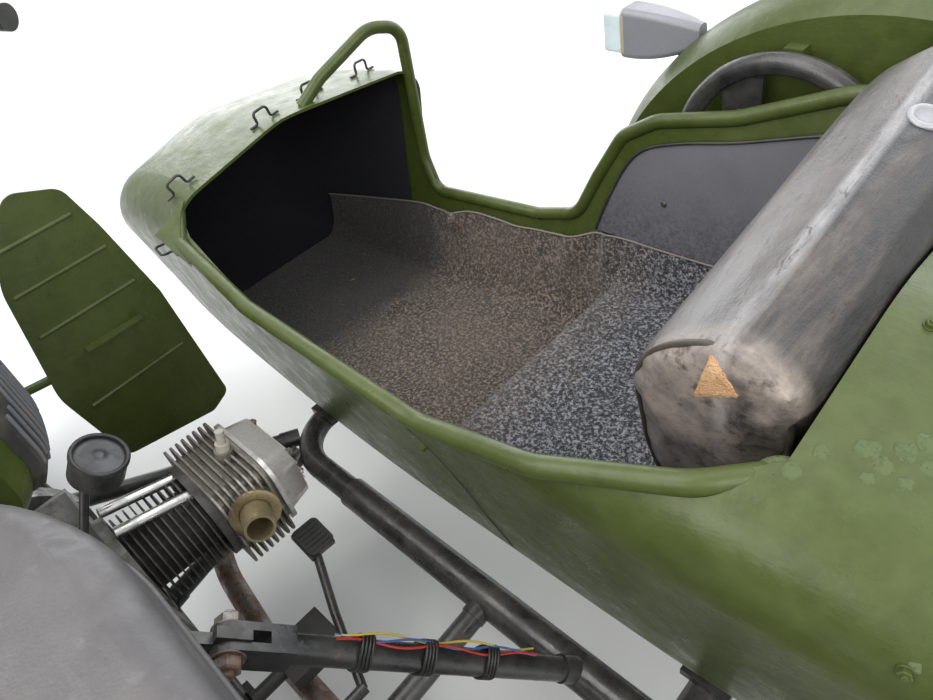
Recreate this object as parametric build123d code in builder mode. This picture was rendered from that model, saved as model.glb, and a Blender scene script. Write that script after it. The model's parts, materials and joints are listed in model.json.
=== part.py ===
"""Military-green motorcycle with a sidecar on its right side.

Modelled in millimetres. Forward is +X, the machine's left is +Y and up is +Z.
Places are measured from the ground point under the rear axle; on export everything is
moved so that the origin is on the ground, at the middle of the machine's length and width.
"""
from build123d import *
import math
import os

os.makedirs("parts", exist_ok=True)

# Wheels
wheelbase = 1500.0
tyre_radius = 335.0
tyre_half_width = 49.0
bead_radius = 241.0
bead_half_width = 30.0
rim_well_radius = 225.0
rim_flange_radius = 251.0
rim_flange_width = 4.5
fit_gap = 0.3
running_gap = 0.08
axle_radius = 10.0
spoke_radius = 2.2
spokes_per_side = 18
spoke_lead = 32.0
drum_radius = 104.0
drum_half_width = 45.0
small_flange_radius = 70.0
hub_barrel_radius = 46.0

# Steering
rake = 27.0
fork_offset = 60.0
fork_half_spacing = 108.0
slider_radius = 27.0
slider_length = 300.0
stanchion_radius = 18.0
cover_radius = 32.0
lower_yoke_at = 420.0
upper_yoke_at = 640.0
yoke_thickness = 22.0
head_tube_radius = 28.0
stem_radius = 14.0
handlebar_radius = 11.0
handlebar_half_width = 405.0
handlebar_height = 1045.0

# Frame and engine
frame_tube_radius = 15.0
cradle_half_width = 108.0
cradle_height = 186.0
crank_x = 800.0
crank_z = 370.0
crankcase_half_width = 125.0
barrel_length = 115.0
barrel_fins = 11
fin_thickness = 2.6
head_length = 82.0
head_fins = 8
gasket_thickness = 5.0
cover_depth = 52.0
engine_mount_x = 645.0
pushrod_radius = 8.0
exhaust_radius = 19.0
silencer_radius = 41.0
seat_top = 790.0

# Sidecar
sidecar_axle_x = 235.0
track = 1155.0
tub_centre_y = -715.0
tub_wall = 5.0
cockpit_rear_x = 70.0
cockpit_front_x = 1040.0
rim_tube_radius = 11.0
lining_gap = 0.4
chassis_z = 288.0
chassis_left_y = -425.0
chassis_right_y = -1040.0
chassis_radius = 25.0
chassis_front_radius = 21.0
chassis_rear_x = -130.0
chassis_front_x = 880.0
chassis_step_x = 700.0
hoop_radius = 14.5
hoop_bend = 141.0
hoop_centre_x = 335.0
hoop_top_z = 800.0
sheet = 3.0
move_gap = 5.0

rear_axle = (0.0, 0.0, tyre_radius)
front_axle = (wheelbase, 0.0, tyre_radius)
sidecar_axle = (sidecar_axle_x, -track, tyre_radius)


pieces = {}


def finish(part, name):
    """Keeps a finished piece under its name."""
    part.label = name
    pieces[name] = part


def rod(start, end, radius):
    """A straight round bar from one point to another, in the part being built."""
    span = Vector(*end) - Vector(*start)
    with Locations(Plane(origin=start, z_dir=span)):
        Cylinder(radius, span.length, align=(Align.CENTER, Align.CENTER, Align.MIN))


def tube(points, bends, radius, closed=False, mode=Mode.ADD):
    """A round bar along straight runs joined by arcs, in the part being built."""
    with BuildLine() as route:
        FilletPolyline(*points, radius=bends, close=closed)
    with BuildSketch(Plane(origin=route.line @ 0, z_dir=route.line % 0)) as section:
        Circle(radius)
    sweep(sections=section.sketch, path=route.line, mode=mode)


def across(point):
    """The same point on the machine's other side."""
    return (point[0], -point[1], point[2])


def radial_plane(centre, angle):
    """A plane through the wheel's axis: its x runs along the axle and its y out at this angle."""
    a = math.radians(angle)
    return Plane(origin=centre, x_dir=(0, 1, 0), z_dir=(math.sin(a), 0, -math.cos(a)))


# Wheel pieces, made once at the origin and placed three times
wheel_plane = radial_plane((0, 0, 0), 90)
wheel_axis = Axis((0, 0, 0), (0, 1, 0))

with BuildPart() as tyre:
    with BuildSketch(wheel_plane):
        with BuildLine():
            Line((-bead_half_width, bead_radius), (bead_half_width, bead_radius))
            Line((bead_half_width, bead_radius), (bead_half_width, rim_flange_radius + 1))
            ThreePointArc(
                (bead_half_width, rim_flange_radius + 1),
                (tyre_half_width, 286),
                (tyre_half_width - 9, 318),
            )
            ThreePointArc(
                (tyre_half_width - 9, 318), (0, tyre_radius), (9 - tyre_half_width, 318)
            )
            ThreePointArc(
                (9 - tyre_half_width, 318),
                (-tyre_half_width, 286),
                (-bead_half_width, rim_flange_radius + 1),
            )
            Line((-bead_half_width, rim_flange_radius + 1), (-bead_half_width, bead_radius))
        make_face()
    revolve(axis=wheel_axis)

with BuildPart() as wheel:
    seat = bead_radius - fit_gap
    inner = bead_half_width + 0.5
    outer = inner + rim_flange_width
    with BuildSketch(wheel_plane):
        with BuildLine():
            Polyline(
                (outer, rim_flange_radius),
                (inner, rim_flange_radius),
                (inner, seat),
                (14, seat),
                (10, rim_well_radius + 4),
                (-10, rim_well_radius + 4),
                (-14, seat),
                (-inner, seat),
                (-inner, rim_flange_radius),
                (-outer, rim_flange_radius),
                (-outer, seat + 4),
                (-inner, seat - 4),
                (-17, seat - 4),
                (-13, rim_well_radius),
                (13, rim_well_radius),
                (17, seat - 4),
                (inner, seat - 4),
                (outer, seat + 4),
                close=True,
            )
        make_face()
    revolve(axis=wheel_axis)
    with BuildSketch(wheel_plane):
        with BuildLine():
            Polyline(
                (drum_half_width, axle_radius + running_gap),
                (drum_half_width, hub_barrel_radius - 16),
                (drum_half_width - 8, hub_barrel_radius - 10),
                (drum_half_width - 8, small_flange_radius),
                (drum_half_width - 14, small_flange_radius),
                (drum_half_width - 18, hub_barrel_radius),
                (22 - drum_half_width, hub_barrel_radius + 6),
                (18 - drum_half_width, drum_radius - 6),
                (12 - drum_half_width, drum_radius),
                (-drum_half_width, drum_radius),
                (-drum_half_width, axle_radius + running_gap),
                close=True,
            )
        make_face()
    revolve(axis=wheel_axis)
    # Each side's spokes lean forward and back in turn, from its flange to the rim's well
    for side_y, flange_radius in (
        (drum_half_width - 11, small_flange_radius - 5),
        (15 - drum_half_width, drum_radius - 5),
    ):
        for n in range(spokes_per_side):
            inner_angle = math.radians(n * 360 / spokes_per_side + (10 if side_y > 0 else 0))
            outer_angle = inner_angle + math.radians(spoke_lead if n % 2 else -spoke_lead)
            rod(
                (flange_radius * math.cos(inner_angle), side_y, flange_radius * math.sin(inner_angle)),
                (
                    (rim_well_radius + 1) * math.cos(outer_angle),
                    side_y * 0.2,
                    (rim_well_radius + 1) * math.sin(outer_angle),
                ),
                spoke_radius,
            )

for prefix, axle, turn in (("front", front_axle, 0), ("rear", rear_axle, 0), ("sidecar", sidecar_axle, 180)):
    place = Location(axle, (0, 0, turn))
    finish(tyre.part.moved(place), f"{prefix}_tyre")
    finish(wheel.part.moved(place), f"{prefix}_wheel")

# Steering geometry: distances are measured up the fork legs from the front axle
leg_dir = Vector(-math.sin(math.radians(rake)), 0, math.cos(math.radians(rake)))
head_offset = Vector(-math.cos(math.radians(rake)), 0, -math.sin(math.radians(rake))) * fork_offset


def on_leg(distance, y):
    point = Vector(*front_axle) + leg_dir * distance
    return (point.X, y, point.Z)


def on_head(distance):
    point = Vector(*front_axle) + leg_dir * distance + head_offset
    return (point.X, 0, point.Z)


with BuildPart() as fork_legs:
    for side in (-1, 1):
        rod(
            on_leg(-24, side * fork_half_spacing),
            on_leg(slider_length, side * fork_half_spacing),
            slider_radius,
        )
        rod(
            on_leg(slider_length, side * fork_half_spacing),
            on_leg(upper_yoke_at + yoke_thickness, side * fork_half_spacing),
            stanchion_radius,
        )
    rod(
        (wheelbase, -fork_half_spacing, tyre_radius),
        (wheelbase, fork_half_spacing, tyre_radius),
        axle_radius,
    )
finish(fork_legs.part, "fork_legs")

with BuildPart() as fork_covers:
    for side in (-1, 1):
        for low, high in (
            (slider_length + 6, lower_yoke_at - 1),
            (lower_yoke_at + yoke_thickness + 1, upper_yoke_at - 1),
        ):
            rod(on_leg(low, side * fork_half_spacing), on_leg(high, side * fork_half_spacing), cover_radius)
            with Locations(Plane(origin=on_leg(low, side * fork_half_spacing), z_dir=leg_dir)):
                Cylinder(
                    stanchion_radius + fit_gap,
                    high - low,
                    align=(Align.CENTER, Align.CENTER, Align.MIN),
                    mode=Mode.SUBTRACT,
                )
finish(fork_covers.part, "fork_covers")

with BuildPart() as fork_yokes:
    for at in (lower_yoke_at, upper_yoke_at):
        with BuildSketch(Plane(origin=on_leg(at, 0), x_dir=(0, 1, 0), z_dir=leg_dir)):
            with Locations((0, 0)):
                Rectangle(2 * fork_half_spacing, 62)
            with Locations((-fork_half_spacing, 0), (fork_half_spacing, 0)):
                Circle(34)
            with Locations((0, fork_offset)):
                Circle(34)
            with Locations((-fork_half_spacing, 0), (fork_half_spacing, 0)):
                Circle(stanchion_radius + fit_gap, mode=Mode.SUBTRACT)
        extrude(amount=yoke_thickness)
    rod(on_head(lower_yoke_at + 5), on_head(upper_yoke_at + yoke_thickness + 14), stem_radius)
    for side in (-1, 1):
        riser = on_leg(upper_yoke_at + yoke_thickness - 2, side * 38)
        rod(riser, (riser[0], riser[1], riser[2] + 34), 14)
finish(fork_yokes.part, "fork_yokes")

clamp_point = on_leg(upper_yoke_at + yoke_thickness - 2, 38)
bar_z = clamp_point[2] + 34 + handlebar_radius
bar_route = [
    (clamp_point[0] - 195, handlebar_half_width - 6, handlebar_height - 22),
    (clamp_point[0] - 70, handlebar_half_width - 85, handlebar_height),
    (clamp_point[0] + 10, 150, handlebar_height - 8),
    (clamp_point[0], 80, bar_z),
]
full_route = bar_route + [across(p) for p in reversed(bar_route)]
with BuildPart() as handlebar:
    tube(full_route, [60, 40, 28, 28, 40, 60], handlebar_radius)
finish(handlebar.part, "handlebar")

with BuildPart() as hand_grips:
    for side in (1, -1):
        grip_end = (bar_route[0][0], side * bar_route[0][1], bar_route[0][2])
        grip_start = (bar_route[1][0], side * bar_route[1][1], bar_route[1][2])
        run = (Vector(*grip_start) - Vector(*grip_end)).normalized()
        with Locations(Plane(origin=tuple(Vector(*grip_end) - run * 5), z_dir=run)):
            Cylinder(16, 118, align=(Align.CENTER, Align.CENTER, Align.MIN))
        with Locations(Plane(origin=tuple(Vector(*grip_end) - run * fit_gap), z_dir=run)):
            Cylinder(
                handlebar_radius + fit_gap,
                130,
                align=(Align.CENTER, Align.CENTER, Align.MIN),
                mode=Mode.SUBTRACT,
            )
finish(hand_grips.part, "hand_grips")

lamp_centre = on_leg(560, 0)
lamp_x = lamp_centre[0] + 70
lamp_z = lamp_centre[2] + 5
lamp_radius = 92.0
with BuildPart() as headlamp_shell:
    with BuildSketch(Plane(origin=(lamp_x, 0, lamp_z), x_dir=(1, 0, 0), z_dir=(0, -1, 0))):
        with BuildLine():
            Line((60, 0), (60, lamp_radius))
            Line((60, lamp_radius), (20, lamp_radius - 3))
            CenterArc((20, 0), lamp_radius - 3, 90, 90)
            Line((23 - lamp_radius, 0), (60, 0))
        make_face()
    revolve(axis=Axis((lamp_x, 0, lamp_z), (1, 0, 0)))
    for side in (-1, 1):
        ear_start = Vector(lamp_x + 5, side * (lamp_radius - 12), lamp_z)
        ear_run = Vector(*on_leg(560, side * fork_half_spacing)) - ear_start
        rod(tuple(ear_start), tuple(ear_start + ear_run.normalized() * (ear_run.length - 38.6)), 9)
finish(headlamp_shell.part, "headlamp_shell")

lens_radius = 208.0
lens_angle = math.degrees(math.asin((lamp_radius - 5) / lens_radius))
with BuildPart() as headlamp_lens:
    with BuildSketch(Plane(origin=(lamp_x + 60 + fit_gap, 0, lamp_z), x_dir=(1, 0, 0), z_dir=(0, -1, 0))):
        with BuildLine():
            Line((0, 0), (0, lamp_radius - 5))
            lens_arc = CenterArc((26 - lens_radius, 0), lens_radius, 0, lens_angle)
            Line((0, lamp_radius - 5), lens_arc @ 1)
            Line((26, 0), (0, 0))
        make_face()
    revolve(axis=Axis((lamp_x, 0, lamp_z), (1, 0, 0)))
finish(headlamp_lens.part, "headlamp_lens")

front_guard_radius = 372.0
with BuildPart() as front_fender:
    with BuildSketch(radial_plane(front_axle, 12)):
        with BuildLine():
            Polyline((-68, front_guard_radius - 42), (-68, front_guard_radius - 14))
            ThreePointArc(
                (-68, front_guard_radius - 14), (0, front_guard_radius), (68, front_guard_radius - 14)
            )
            Polyline(
                (68, front_guard_radius - 14),
                (68, front_guard_radius - 42),
                (68 - sheet, front_guard_radius - 42),
                (68 - sheet, front_guard_radius - 14 - sheet),
            )
            ThreePointArc(
                (68 - sheet, front_guard_radius - 14 - sheet),
                (0, front_guard_radius - sheet),
                (sheet - 68, front_guard_radius - 14 - sheet),
            )
            Polyline(
                (sheet - 68, front_guard_radius - 14 - sheet),
                (sheet - 68, front_guard_radius - 42),
                (-68, front_guard_radius - 42),
            )
        make_face()
    revolve(axis=Axis(front_axle, (0, -1, 0)), revolution_arc=205)
    for side in (1, -1):
        with Locations(Plane(origin=on_leg(292, side * 70.5), x_dir=tuple(leg_dir), z_dir=(0, side, 0))):
            Box(130, 26, 7)
        slider_face = fork_half_spacing - slider_radius - fit_gap
        rod(on_leg(250, side * 72), on_leg(250, side * slider_face), 12)
finish(front_fender.part, "front_fender")

# Frame
cradle_front_x = 1010.0
upright_x = 395.0
rail_z = 688.0
rail_half = 105.0
rail_rear_x = -120.0
pivot_z = 335.0
backbone_rear = (600.0, 0.0, 680.0)
strut_lug = (415.0, -150.0, 580.0)
shock_top = (80.0, rail_z)
shock_half = 149.0
head_low = on_head(505)
stand_x = 470.0
stand_z = 156.0
stand_pin = 8.0
head_mid = on_head(560)

clevis_bolt = 6.0
lug_thickness = 12.0
socket_length = 34.0
strut_lines = (
    # name, point on the motorcycle's frame, point on the sidecar's frame, radius
    ("rear upper", strut_lug, (236.0, chassis_left_y, 293.0), 15.0),
    ("rear lower", (upright_x, -cradle_half_width, 262.0), (upright_x, chassis_left_y, chassis_z), 16.0),
    ("front lower", (868.0, -cradle_half_width, cradle_height), (850.0, chassis_left_y, chassis_z), 16.0),
    ("front upper", (1052.0, -84.0, 345.0), (882.0, chassis_left_y - 20, chassis_z), 14.0),
)
strut_run = (Vector(*strut_lines[0][2]) - Vector(*strut_lug)).normalized()
bolt_run = Vector(-strut_run.Y, strut_run.X, 0).normalized()
clevis_plane = Plane(origin=strut_lug, x_dir=tuple(strut_run), z_dir=tuple(bolt_run))

backbone_run = (Vector(*backbone_rear) - Vector(*head_mid)).normalized()
backbone_length = (Vector(*backbone_rear) - Vector(*head_mid)).length
tunnel_half = 26.0


def backbone_at(share):
    """A point on the backbone's centre line, as a share of the way from head to rear."""
    return tuple(Vector(*head_mid) + backbone_run * (backbone_length * share))


with BuildPart() as bike_frame:
    rod(on_head(lower_yoke_at + yoke_thickness + 4), on_head(upper_yoke_at - 4), head_tube_radius)
    rod(head_mid, backbone_rear, 20)
    for side in (1, -1):
        tube(
            [
                (head_low[0], side * 20, head_low[2]),
                (1045, side * 85, 330),
                (cradle_front_x, side * cradle_half_width, cradle_height),
                (upright_x + 40, side * cradle_half_width, cradle_height),
                (upright_x, side * cradle_half_width, 300),
                (upright_x, side * cradle_half_width, rail_z),
            ],
            [160, 60, 45, 60],
            frame_tube_radius,
        )
        tube(
            [
                (backbone_rear[0], 0, backbone_rear[2]),
                (480, side * rail_half, rail_z),
                (rail_rear_x, side * rail_half, rail_z),
            ],
            [70],
            frame_tube_radius,
        )
        rod(
            (shock_top[0], side * rail_half, rail_z),
            (shock_top[0], side * (shock_half + 26), rail_z),
            8,
        )
        with Locations((stand_x, side * 99, (stand_z + cradle_height) / 2)):
            Box(30, 10, cradle_height - stand_z + 24)
    with Locations(Plane(origin=(stand_x, 0, stand_z), z_dir=(0, 1, 0))):
        Cylinder(stand_pin + running_gap, 260, mode=Mode.SUBTRACT)
    for side in (1, -1):
        for lug_x in (engine_mount_x + 40, 900):
            with Locations((lug_x, side * cradle_half_width, 204.8)):
                Box(36, 14, 9.8)
    rod((upright_x, -rail_half, rail_z), (upright_x, rail_half, rail_z), 12)
    rod((rail_rear_x, -rail_half, rail_z + 5), (rail_rear_x, rail_half, rail_z + 5), 9.5)
    for guard_x in (90, -70):
        for side in (1, -1):
            with Locations((guard_x, side * (70 + fit_gap + 13), 667)):
                Box(30, 26, 42)
    with Locations((474, -(cradle_half_width + 2), 215)):
        Box(24, 10, 54)
    for along in (0.14, 0.86):
        with Locations(Plane(origin=backbone_at(along), z_dir=backbone_run)):
            Cylinder(tunnel_half - fit_gap, 30)
    rod(
        (cradle_front_x - 60, -cradle_half_width, cradle_height),
        (cradle_front_x - 60, cradle_half_width, cradle_height),
        12,
    )
    rod(
        (upright_x, strut_lug[1] + 42, strut_lug[2]),
        (strut_lug[0] - 2.3, strut_lug[1] + 27, strut_lug[2]),
        12,
    )
    with Locations(clevis_plane):
        Box(34, 40, lug_thickness)
        Box(60, 16, lug_thickness, align=(Align.MAX, Align.CENTER, Align.CENTER))
        Cylinder(clevis_bolt + fit_gap, 60, mode=Mode.SUBTRACT)
    for name, start, end, radius in strut_lines:
        if name != "rear upper":
            run = (Vector(*end) - Vector(*start)).normalized()
            rod(start, tuple(Vector(*start) + run * socket_length), radius + 2)
    with Locations(Plane(origin=(upright_x, 0, pivot_z), z_dir=(0, 1, 0))):
        Cylinder(9 + fit_gap, 260, mode=Mode.SUBTRACT)
    with Locations(Plane(origin=on_head(530), z_dir=leg_dir)):
        Cylinder(stem_radius + running_gap, 260, mode=Mode.SUBTRACT)
finish(bike_frame.part, "bike_frame")

# Engine: one crankcase block that carries the barrels, heads and gearbox
with BuildPart() as engine_crankcase:
    with BuildSketch(Plane(origin=(0, 0, 0), x_dir=(1, 0, 0), z_dir=(0, -1, 0))):
        with BuildLine():
            FilletPolyline(
                (engine_mount_x, 222),
                (700, 210),
                (930, 210),
                (958, 240),
                (958, 440),
                (900, 478),
                (engine_mount_x, 478),
                radius=14,
                close=True,
            )
        make_face()
    extrude(amount=crankcase_half_width - 14, both=True)
    with Locations(Plane(origin=(crank_x, 0, crank_z), z_dir=(0, 1, 0))):
        Cylinder(88, 2 * crankcase_half_width)
    with Locations(Plane(origin=(955, 0, crank_z), z_dir=(1, 0, 0))):
        Cylinder(118, 26, align=(Align.CENTER, Align.CENTER, Align.MIN))
        Cylinder(104, 36, align=(Align.CENTER, Align.CENTER, Align.MIN))
    with Locations(Plane(origin=(engine_mount_x - 8, 0, crank_z), z_dir=(1, 0, 0))):
        Cylinder(128, 26, align=(Align.CENTER, Align.CENTER, Align.MIN))
    with Locations(Plane(origin=(790, 0, 500), z_dir=(1, 0, 0))):
        Cylinder(52, 190, align=(Align.CENTER, Align.CENTER, Align.MIN))
finish(engine_crankcase.part, "engine_crankcase")

gearbox_front = engine_mount_x - 8 - fit_gap
with BuildPart() as gearbox:
    with Locations(Plane(origin=(gearbox_front, 0, crank_z), z_dir=(-1, 0, 0))):
        Cylinder(124, 46, align=(Align.CENTER, Align.CENTER, Align.MIN))
    with BuildSketch(Plane(origin=(0, 0, 0), x_dir=(1, 0, 0), z_dir=(0, -1, 0))):
        with BuildLine():
            FilletPolyline(
                (465, 225), (600, 225), (600, 455), (520, 455), (465, 410), radius=16, close=True
            )
        make_face()
    extrude(amount=104, both=True)
finish(gearbox.part, "gearbox")

barrel_face = crankcase_half_width + fit_gap
barrel_end = crankcase_half_width + barrel_length
head_face = barrel_end + gasket_thickness
head_end = head_face + head_length
fin_pitch = barrel_length / barrel_fins


def pushrod_lines(side):
    """The two pushrod tubes of one cylinder, each from the case to the head."""
    return (
        ((823, side * 127, 470), (823, side * (barrel_end + 1), 436)),
        ((777, side * 127, 464), (777, side * (barrel_end + 1), 432)),
    )


with BuildPart() as cylinder_barrels:
    with BuildSketch(Plane.XY.offset(crank_z)):
        for side in (1, -1):
            with Locations((crank_x + 25, side * (barrel_face + barrel_end) / 2)):
                Rectangle(50, barrel_end - barrel_face)
            for n in range(barrel_fins):
                fin_y = side * (barrel_face + fin_pitch * (n + 0.5))
                with Locations((crank_x + 38, fin_y)):
                    Rectangle(76, fin_thickness)
            with Locations((crank_x + 41, side * (barrel_end + 0.5 * (gasket_thickness - 8) - fit_gap))):
                Rectangle(82, gasket_thickness + 8)
    revolve(axis=Axis((crank_x, 0, crank_z), (0, 1, 0)))
    for side in (1, -1):
        for start, end in pushrod_lines(side):
            span = Vector(*end) - Vector(*start)
            with Locations(Plane(origin=start, z_dir=span)):
                Cylinder(
                    pushrod_radius + 1,
                    span.length + 8,
                    align=(Align.CENTER, Align.CENTER, Align.MIN),
                    mode=Mode.SUBTRACT,
                )
finish(cylinder_barrels.part, "cylinder_barrels")

head_block = (150.0, 128.0)
head_plate = (190.0, 152.0)
head_pitch = head_length / head_fins
port_dir = {1: Vector(-0.93, -0.3, 0.2), -1: Vector(-0.93, 0.3, 0.2)}
port_start = {1: (714.0, 284.0, 391.0), -1: (714.0, -284.0, 391.0)}
port_flange = 36.0
exhaust_start = {1: (886.0, 284.0, 362.0), -1: (886.0, -284.0, 362.0)}
exhaust_dir = Vector(1, 0, -0.12)

with BuildPart() as cylinder_heads:
    for side in (1, -1):
        with BuildSketch(
            Plane(origin=(crank_x, side * head_face, crank_z), x_dir=(1, 0, 0), z_dir=(0, side, 0))
        ):
            RectangleRounded(*head_block, 24)
        extrude(amount=head_length)
        for n in range(head_fins):
            fin_y = side * (head_face + head_pitch * n)
            with BuildSketch(Plane(origin=(crank_x, fin_y, crank_z), x_dir=(1, 0, 0), z_dir=(0, side, 0))):
                RectangleRounded(*head_plate, 26)
            extrude(amount=fin_thickness + 0.6)
        with Locations(Plane(origin=port_start[side], z_dir=port_dir[side])):
            Cylinder(port_flange + 3, 40, align=(Align.CENTER, Align.CENTER, Align.MIN), mode=Mode.SUBTRACT)
            Cylinder(27, 34, align=(Align.CENTER, Align.CENTER, Align.MAX))
            Cylinder(port_flange, 8, align=(Align.CENTER, Align.CENTER, Align.MAX))
            Cylinder(18.5, 60, align=(Align.CENTER, Align.CENTER, Align.MAX), mode=Mode.SUBTRACT)
        with Locations(Plane(origin=exhaust_start[side], z_dir=exhaust_dir)):
            Cylinder(26, 30, align=(Align.CENTER, Align.CENTER, Align.MIN), mode=Mode.SUBTRACT)
            Cylinder(27, 40, align=(Align.CENTER, Align.CENTER, Align.MAX))
            Cylinder(
                exhaust_radius + fit_gap,
                12,
                align=(Align.CENTER, Align.CENTER, Align.MAX),
                mode=Mode.SUBTRACT,
            )
        with Locations(Plane(origin=(792, side * 306, 452), z_dir=(0, side * 0.25, 1))):
            Cylinder(14, 40, align=(Align.CENTER, Align.CENTER, Align.MAX))
            Cylinder(7.3, 24, align=(Align.CENTER, Align.CENTER, Align.MAX), mode=Mode.SUBTRACT)
finish(cylinder_heads.part, "cylinder_heads")

with BuildPart() as rocker_covers:
    for side in (1, -1):
        cover_face = head_end + fit_gap
        with BuildSketch(
            Plane(origin=(crank_x, side * cover_face, crank_z), x_dir=(1, 0, 0), z_dir=(0, side, 0))
        ):
            RectangleRounded(176, 136, 34)
        extrude(amount=7)
        with BuildSketch(
            Plane(origin=(crank_x, side * (cover_face + 6), crank_z), x_dir=(1, 0, 0), z_dir=(0, side, 0))
        ):
            RectangleRounded(160, 120, 34)
        extrude(amount=cover_depth - 12, taper=12)
        for rib_z in (-36, -18, 0, 18, 36):
            with BuildSketch(
                Plane(
                    origin=(crank_x, side * (cover_face + 8), crank_z + rib_z),
                    x_dir=(1, 0, 0),
                    z_dir=(0, side, 0),
                )
            ):
                SlotOverall(140 - abs(rib_z) * 0.6, 5)
            extrude(amount=cover_depth - 9)
finish(rocker_covers.part, "rocker_covers")

with BuildPart() as pushrod_tubes:
    for side in (1, -1):
        for start, end in pushrod_lines(side):
            rod(start, (end[0], side * barrel_end, end[2]), pushrod_radius)
finish(pushrod_tubes.part, "pushrod_tubes")

with BuildPart() as spark_plugs:
    for side in (1, -1):
        plug_dir = Vector(0, side * 0.25, 1).normalized()
        seat_point = Vector(792, side * 306, 452) + plug_dir * fit_gap
        rod(tuple(seat_point - plug_dir * 20), tuple(seat_point), 7)
        rod(tuple(seat_point), tuple(seat_point + plug_dir * 12), 10.5)
        rod(tuple(seat_point + plug_dir * 12), tuple(seat_point + plug_dir * 34), 6.5)
finish(spark_plugs.part, "spark_plugs")

with BuildPart() as intake_stubs:
    for side in (1, -1):
        face = Vector(*port_start[side]) + port_dir[side].normalized() * fit_gap
        with Locations(Plane(origin=tuple(face), z_dir=port_dir[side])):
            Cylinder(port_flange, 7, align=(Align.CENTER, Align.CENTER, Align.MIN))
            Cylinder(22.5, 50, align=(Align.CENTER, Align.CENTER, Align.MIN))
            Cylinder(18.5, 51, align=(Align.CENTER, Align.CENTER, Align.MIN), mode=Mode.SUBTRACT)
finish(intake_stubs.part, "intake_stubs")

pipe_z = 150.0
pipe_y = 190.0
with BuildPart() as exhaust_system:
    for side in (1, -1):
        start = Vector(*exhaust_start[side]) - exhaust_dir.normalized() * 11.5
        tube(
            [
                tuple(start),
                (919, side * 284, 358),
                (919, side * 278, 290),
                (884, side * 214, pipe_z),
                (700, side * pipe_y, pipe_z),
                (300, side * pipe_y, pipe_z),
            ],
            [28, 45, 60, 120],
            exhaust_radius,
        )
        with BuildSketch(Plane(origin=(340, side * pipe_y, pipe_z), x_dir=(1, 0, 0), z_dir=(0, -1, 0))):
            with BuildLine():
                Polyline(
                    (0, 0),
                    (0, exhaust_radius + 1),
                    (-70, silencer_radius),
                    (-560, silencer_radius),
                    (-640, exhaust_radius + 4),
                    (-680, exhaust_radius + 4),
                    (-680, exhaust_radius),
                    (-590, exhaust_radius),
                    (-590, 0),
                    close=True,
                )
            make_face()
        revolve(axis=Axis((340, side * pipe_y, pipe_z), (1, 0, 0)))
finish(exhaust_system.part, "exhaust_system")

# Tank, seat and the rest of the motorcycle
tank_sections = (
    # x, half width, bottom, top, corner
    (1108.0, 58.0, 752.0, 846.0, 40.0),
    (1010.0, 122.0, 700.0, 886.0, 55.0),
    (860.0, 146.0, 664.0, 892.0, 60.0),
    (720.0, 140.0, 660.0, 876.0, 60.0),
    (612.0, 96.0, 676.0, 812.0, 45.0),
)


def tank_solid(grow):
    """The tank's outer shape, its sides moved out by this much, in the part being built."""
    faces = []
    for x, half, low, high, corner in tank_sections:
        plane = Plane(origin=(x, 0, (low + high) / 2), x_dir=(0, 1, 0), z_dir=(1, 0, 0))
        with BuildSketch(plane) as section:
            RectangleRounded(2 * (half + grow), high - low + 2 * grow, corner + grow)
        faces.append(section.sketch)
    loft(sections=faces)


tunnel_rise = tunnel_half / -backbone_run.X
with BuildPart() as fuel_tank:
    tank_solid(0)
    with BuildSketch(Plane(origin=(0, 0, 0), x_dir=(1, 0, 0), z_dir=(0, -1, 0))):
        Polygon(
            (backbone_at(-0.1)[0], 560),
            (backbone_at(-0.1)[0], backbone_at(-0.1)[2] + tunnel_rise),
            (backbone_at(1.1)[0], backbone_at(1.1)[2] + tunnel_rise),
            (backbone_at(1.1)[0], 560),
            align=None,
        )
    extrude(amount=tunnel_half, both=True, mode=Mode.SUBTRACT)
    with Locations((880, 0, 880)):
        Cylinder(34, 30, align=(Align.CENTER, Align.CENTER, Align.MIN))
        Cylinder(38, 18, align=(Align.CENTER, Align.CENTER, Align.MIN))
finish(fuel_tank.part, "fuel_tank")

knee_pad_thickness = 11.0
with BuildPart() as tank_envelope:
    tank_solid(fit_gap)
with BuildPart() as knee_pads:
    tank_solid(knee_pad_thickness)
    with BuildSketch(Plane(origin=(704, 0, 738), x_dir=(1, 0, 0), z_dir=(0, -1, 0))):
        RectangleRounded(122, 128, 30)
    extrude(amount=400, both=True, mode=Mode.INTERSECT)
    add(tank_envelope.part, mode=Mode.SUBTRACT)
finish(knee_pads.part, "knee_pads")

seat_low = rail_z + frame_tube_radius + fit_gap
with BuildPart() as rider_seat:
    with BuildSketch(Plane.XY.offset(seat_low)):
        with BuildLine():
            Polyline((592, -58), (592, 58))
            ThreePointArc((592, 58), (500, 122), (400, 148))
            Line((400, 148), (-20, 148))
            ThreePointArc((-20, 148), (-78, 100), (-96, 0))
            ThreePointArc((-96, 0), (-78, -100), (-20, -148))
            Line((-20, -148), (400, -148))
            ThreePointArc((400, -148), (500, -122), (592, -58))
        make_face()
    extrude(amount=seat_top - seat_low)
    fillet(rider_seat.faces().sort_by(Axis.Z)[-1].edges(), 24)
finish(rider_seat.part, "rider_seat")

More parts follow.
